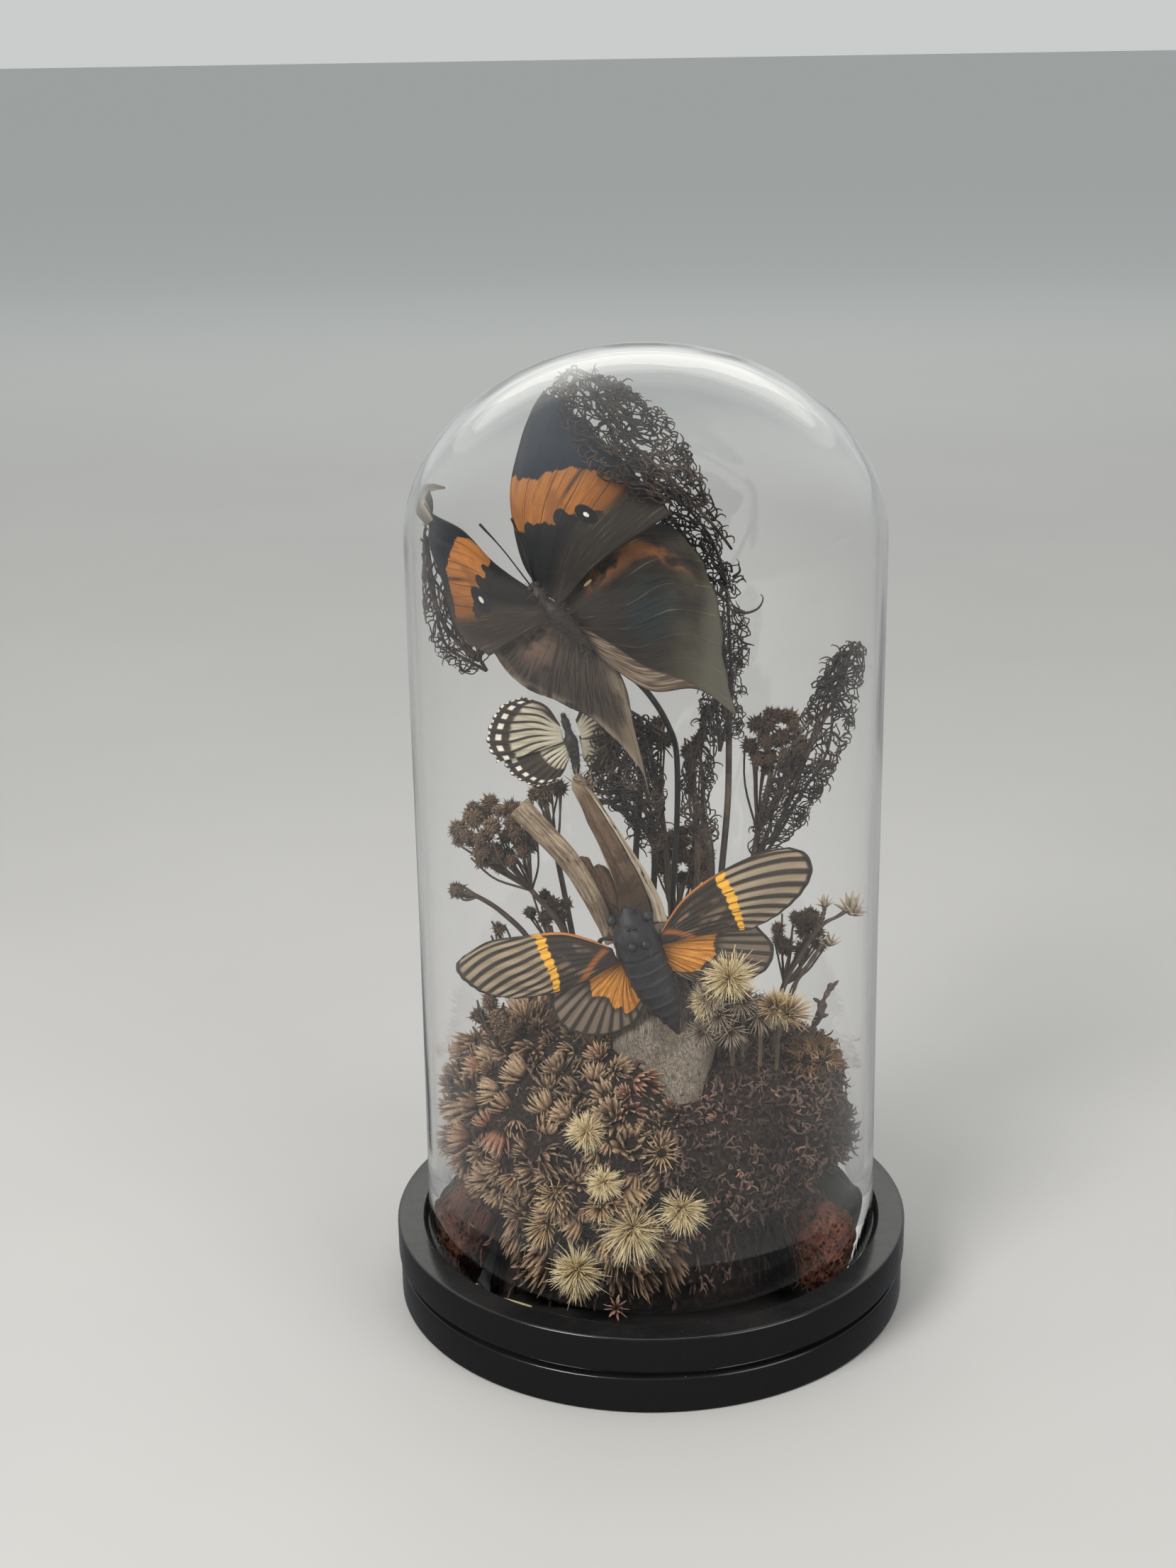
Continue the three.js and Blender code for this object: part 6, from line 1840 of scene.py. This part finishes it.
for name, wing in white_wings.items():
    finish = cream_wing(name + "_scales", 0.7 if "fore" in name else 0.45)
    scallop = lambda t: 0.985 - 0.035 * np.abs(np.sin(7 * np.pi * t)) ** 0.7
    made = sheet(patch(*wing), wing_thickness, 40, 50, margin=scallop, relief=pleats(0.12, 7))
    fit_sheet(name + "_scales", made, finish, "white_wing", name)

white_line = [[-20.6, 9, 149.6], [-19, 9, 144], [-17.6, 9, 137], [-17.4, 9, 133]]
white_radii = [0.5, 1.1, 0.9, 1.7, 1.5, 1.2, 1.0, 0.4]
white_body = tube(white_line, white_radii, 18, 60, 1, lambda share, angle: 0.06 * np.sin(70 * share))
GREY_HORN = insect_black("grey_black_horn", (0.015, 0.014, 0.013), (0.07, 0.064, 0.058))
grown("white_butterfly_body", [white_body], GREY_HORN, "insect_body", "white_body")
GREY_FUR = hair_finish("grey_fur", (0.028, 0.025, 0.022), (0.2, 0.18, 0.15))
furred("white_butterfly_fur", white_body, GREY_FUR, 1.1, 0.04, 0.5)


# Glass cover: one blown bell of clear glass with straight sides and a round crown, open below.
# Its ground foot stands on the floor of the recess.
def bell(wall=2.2, crown=44.7, steps=26):
    """The closed profile of the bell's wall, up its outside and back down its inside."""

    def side(inset, bottom):
        outline = (57, bottom), (56.7, 40), (56.5, 75), (56.4, 100), (56.5, 150)
        line = [(reach - inset, height) for reach, height in outline]
        for step in range(steps + 1):
            angle = math.pi / 2 * step / steps
            reach = (56.6 - inset) * math.cos(angle)
            line.append((reach, SHOULDER + (crown - inset) * math.sin(angle)))
        return line[:-1] + [(0, SHOULDER + crown - inset)]

    rim = [(55.5, FLOOR + 0.15), (55.9, FLOOR), (56.4, FLOOR + 0.15)]
    return side(wall, FLOOR + 0.8)[::-1] + rim + side(0, FLOOR + 0.8)


def clear_glass():
    """Clear soda glass. Its shadow is light, as a thin wall's is."""
    paint = Paint("clear_glass", Base_Color=(1, 1, 1, 1), Roughness=0.0, IOR=1.46)
    paint.shader.inputs["Transmission Weight"].default_value = 1
    swirl = paint.noise(paint.place(1, 1, 0.35), 0.03, 2)
    paint.finish(relief=swirl, depth=0.18)
    open_way = paint.node("BsdfTransparent", {}, {})
    light = paint.node("LightPath", {}, {}, 1)
    made = paint.node("MixShader", {}, {0: light, 1: Field(paint, paint.shader.outputs[0]), 2: open_way})
    paint.join(made, paint.tree.nodes["Material Output"].inputs["Surface"])
    return paint.material


fit("bell_glass", lathe("bell_glass", bell(), 144), clear_glass(), "glass", "glass_dome")


# Studio: a plain pale floor that is lighter far behind, soft lights on three sides and above, a grey
# surround that is paler at the back, and the camera.
def studio_floor(reach=20000):
    paint = Paint("pale_floor", Roughness=0.7)
    tone = paint.clouds(0.004, 4).rises(0.2, 0.8)
    depth = paint.place().axis(1)
    pale = paint.mix((0.41, 0.41, 0.415), (0.44, 0.44, 0.44), tone)
    darker_near = paint.mix(pale, (0.2, 0.2, 0.205), depth.rises(-300, -1000))
    paint.finish(paint.mix(darker_near, (0.77, 0.8, 0.8), depth.rises(500, 2600)))
    corners = [(-reach, -reach, 0), (reach, -reach, 0), (reach, reach, 0), (-reach, reach, 0)]
    mesh = make_mesh("floor", corners, [(0, 1, 2, 3)])
    mesh.materials.append(paint.material)
    floor = put("floor", mesh)
    floor.visible_glossy = False
    floor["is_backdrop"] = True


WARM_WHITE = (1.0, 0.97, 0.91)
NOT_ON_GLASS = bpy.data.collections.new("not_on_glass")
NOT_ON_GLASS.objects.link(bpy.data.objects["bell_glass"])
NOT_ON_GLASS.collection_objects[0].light_linking.link_state = "EXCLUDE"


def soft_light(name, place, aim, size, power, seen_in_glass=False):
    """A softbox. Only those that stand behind are seen in the glass, so it stays clear in front."""
    lamp = bpy.data.lights.new(name, "AREA")
    lamp.shape = "ELLIPSE"
    lamp.size, lamp.size_y = size
    lamp.energy = power
    lamp.color = WARM_WHITE
    light = put(name, lamp)
    light.location = place
    light.rotation_euler = (Vector(aim) - Vector(place)).to_track_quat("-Z", "Y").to_euler()
    light.visible_transmission = seen_in_glass
    if not seen_in_glass:
        light.light_linking.receiver_collection = NOT_ON_GLASS


def studio_world(near=(0.11, 0.113, 0.117, 1), far=(0.59, 0.61, 0.6, 1)):
    """A surround that goes from a dark tone in front and below to a pale one behind and above."""
    scene.world = bpy.data.worlds.new("studio")
    scene.world.use_nodes = True
    tree = scene.world.node_tree
    kinds = ("TexCoord", "SeparateXYZ", "ValToRGB", "Math")
    way, split, ramp, total = (tree.nodes.new("ShaderNode" + kind) for kind in kinds)
    back = tree.nodes["Background"]
    tree.links.new(way.outputs["Generated"], split.inputs[0])
    tree.links.new(split.outputs["Y"], total.inputs[0])
    tree.links.new(split.outputs["Z"], total.inputs[1])
    tree.links.new(total.outputs[0], ramp.inputs[0])
    tree.links.new(ramp.outputs[0], back.inputs["Color"])
    for element, place, tone in zip(ramp.color_ramp.elements, (0.25, 0.95), (near, far)):
        element.position = place
        element.color = tone
    back.inputs["Strength"].default_value = 1.0


def studio_camera():
    yaw, pitch, roll = -0.0271, 0.3208, -0.0164
    ahead = Vector((math.sin(yaw) * math.cos(pitch), math.cos(yaw) * math.cos(pitch), -math.sin(pitch)))
    right = Vector((math.cos(yaw), -math.sin(yaw), 0))
    up = right.cross(ahead)
    side = math.cos(roll) * right + math.sin(roll) * up
    top = -math.sin(roll) * right + math.cos(roll) * up
    lens = bpy.data.cameras.new("camera")
    lens.sensor_fit = "VERTICAL"
    lens.sensor_height = 36
    lens.lens = 52.7
    camera = put("camera", lens)
    camera.matrix_world = Matrix((side, top, -ahead)).transposed().to_4x4()
    camera.location = (0, -0.52835, 0.30976)
    scene.camera = camera


studio_floor()
studio_world()
soft_light("window", (-0.7, -0.8, 0.9), (0, 0, 0.1), (0.6, 0.6), 17.5)
soft_light("fill", (0.9, -0.8, 0.5), (0, 0, 0.12), (0.9, 0.9), 9)
soft_light("ceiling", (0.0, -0.1, 1.3), (0, 0, 0.1), (1.2, 1.2), 6)
soft_light("crown", (0.0, 1.6, 1.2), (0, 0, 0.15), (2.6, 0.7), 2.6, True)
soft_light("halo", (0.0, 1.7, 1.3), (0, 0, 0.15), (3.6, 1.5), 4, True)
studio_camera()
scene.view_settings.view_transform = "Standard"

boxes = {"cad": cad_box, "visual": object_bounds()}
sizes = {name: [list(map(float, corner)) for corner in box] for name, box in boxes.items()}
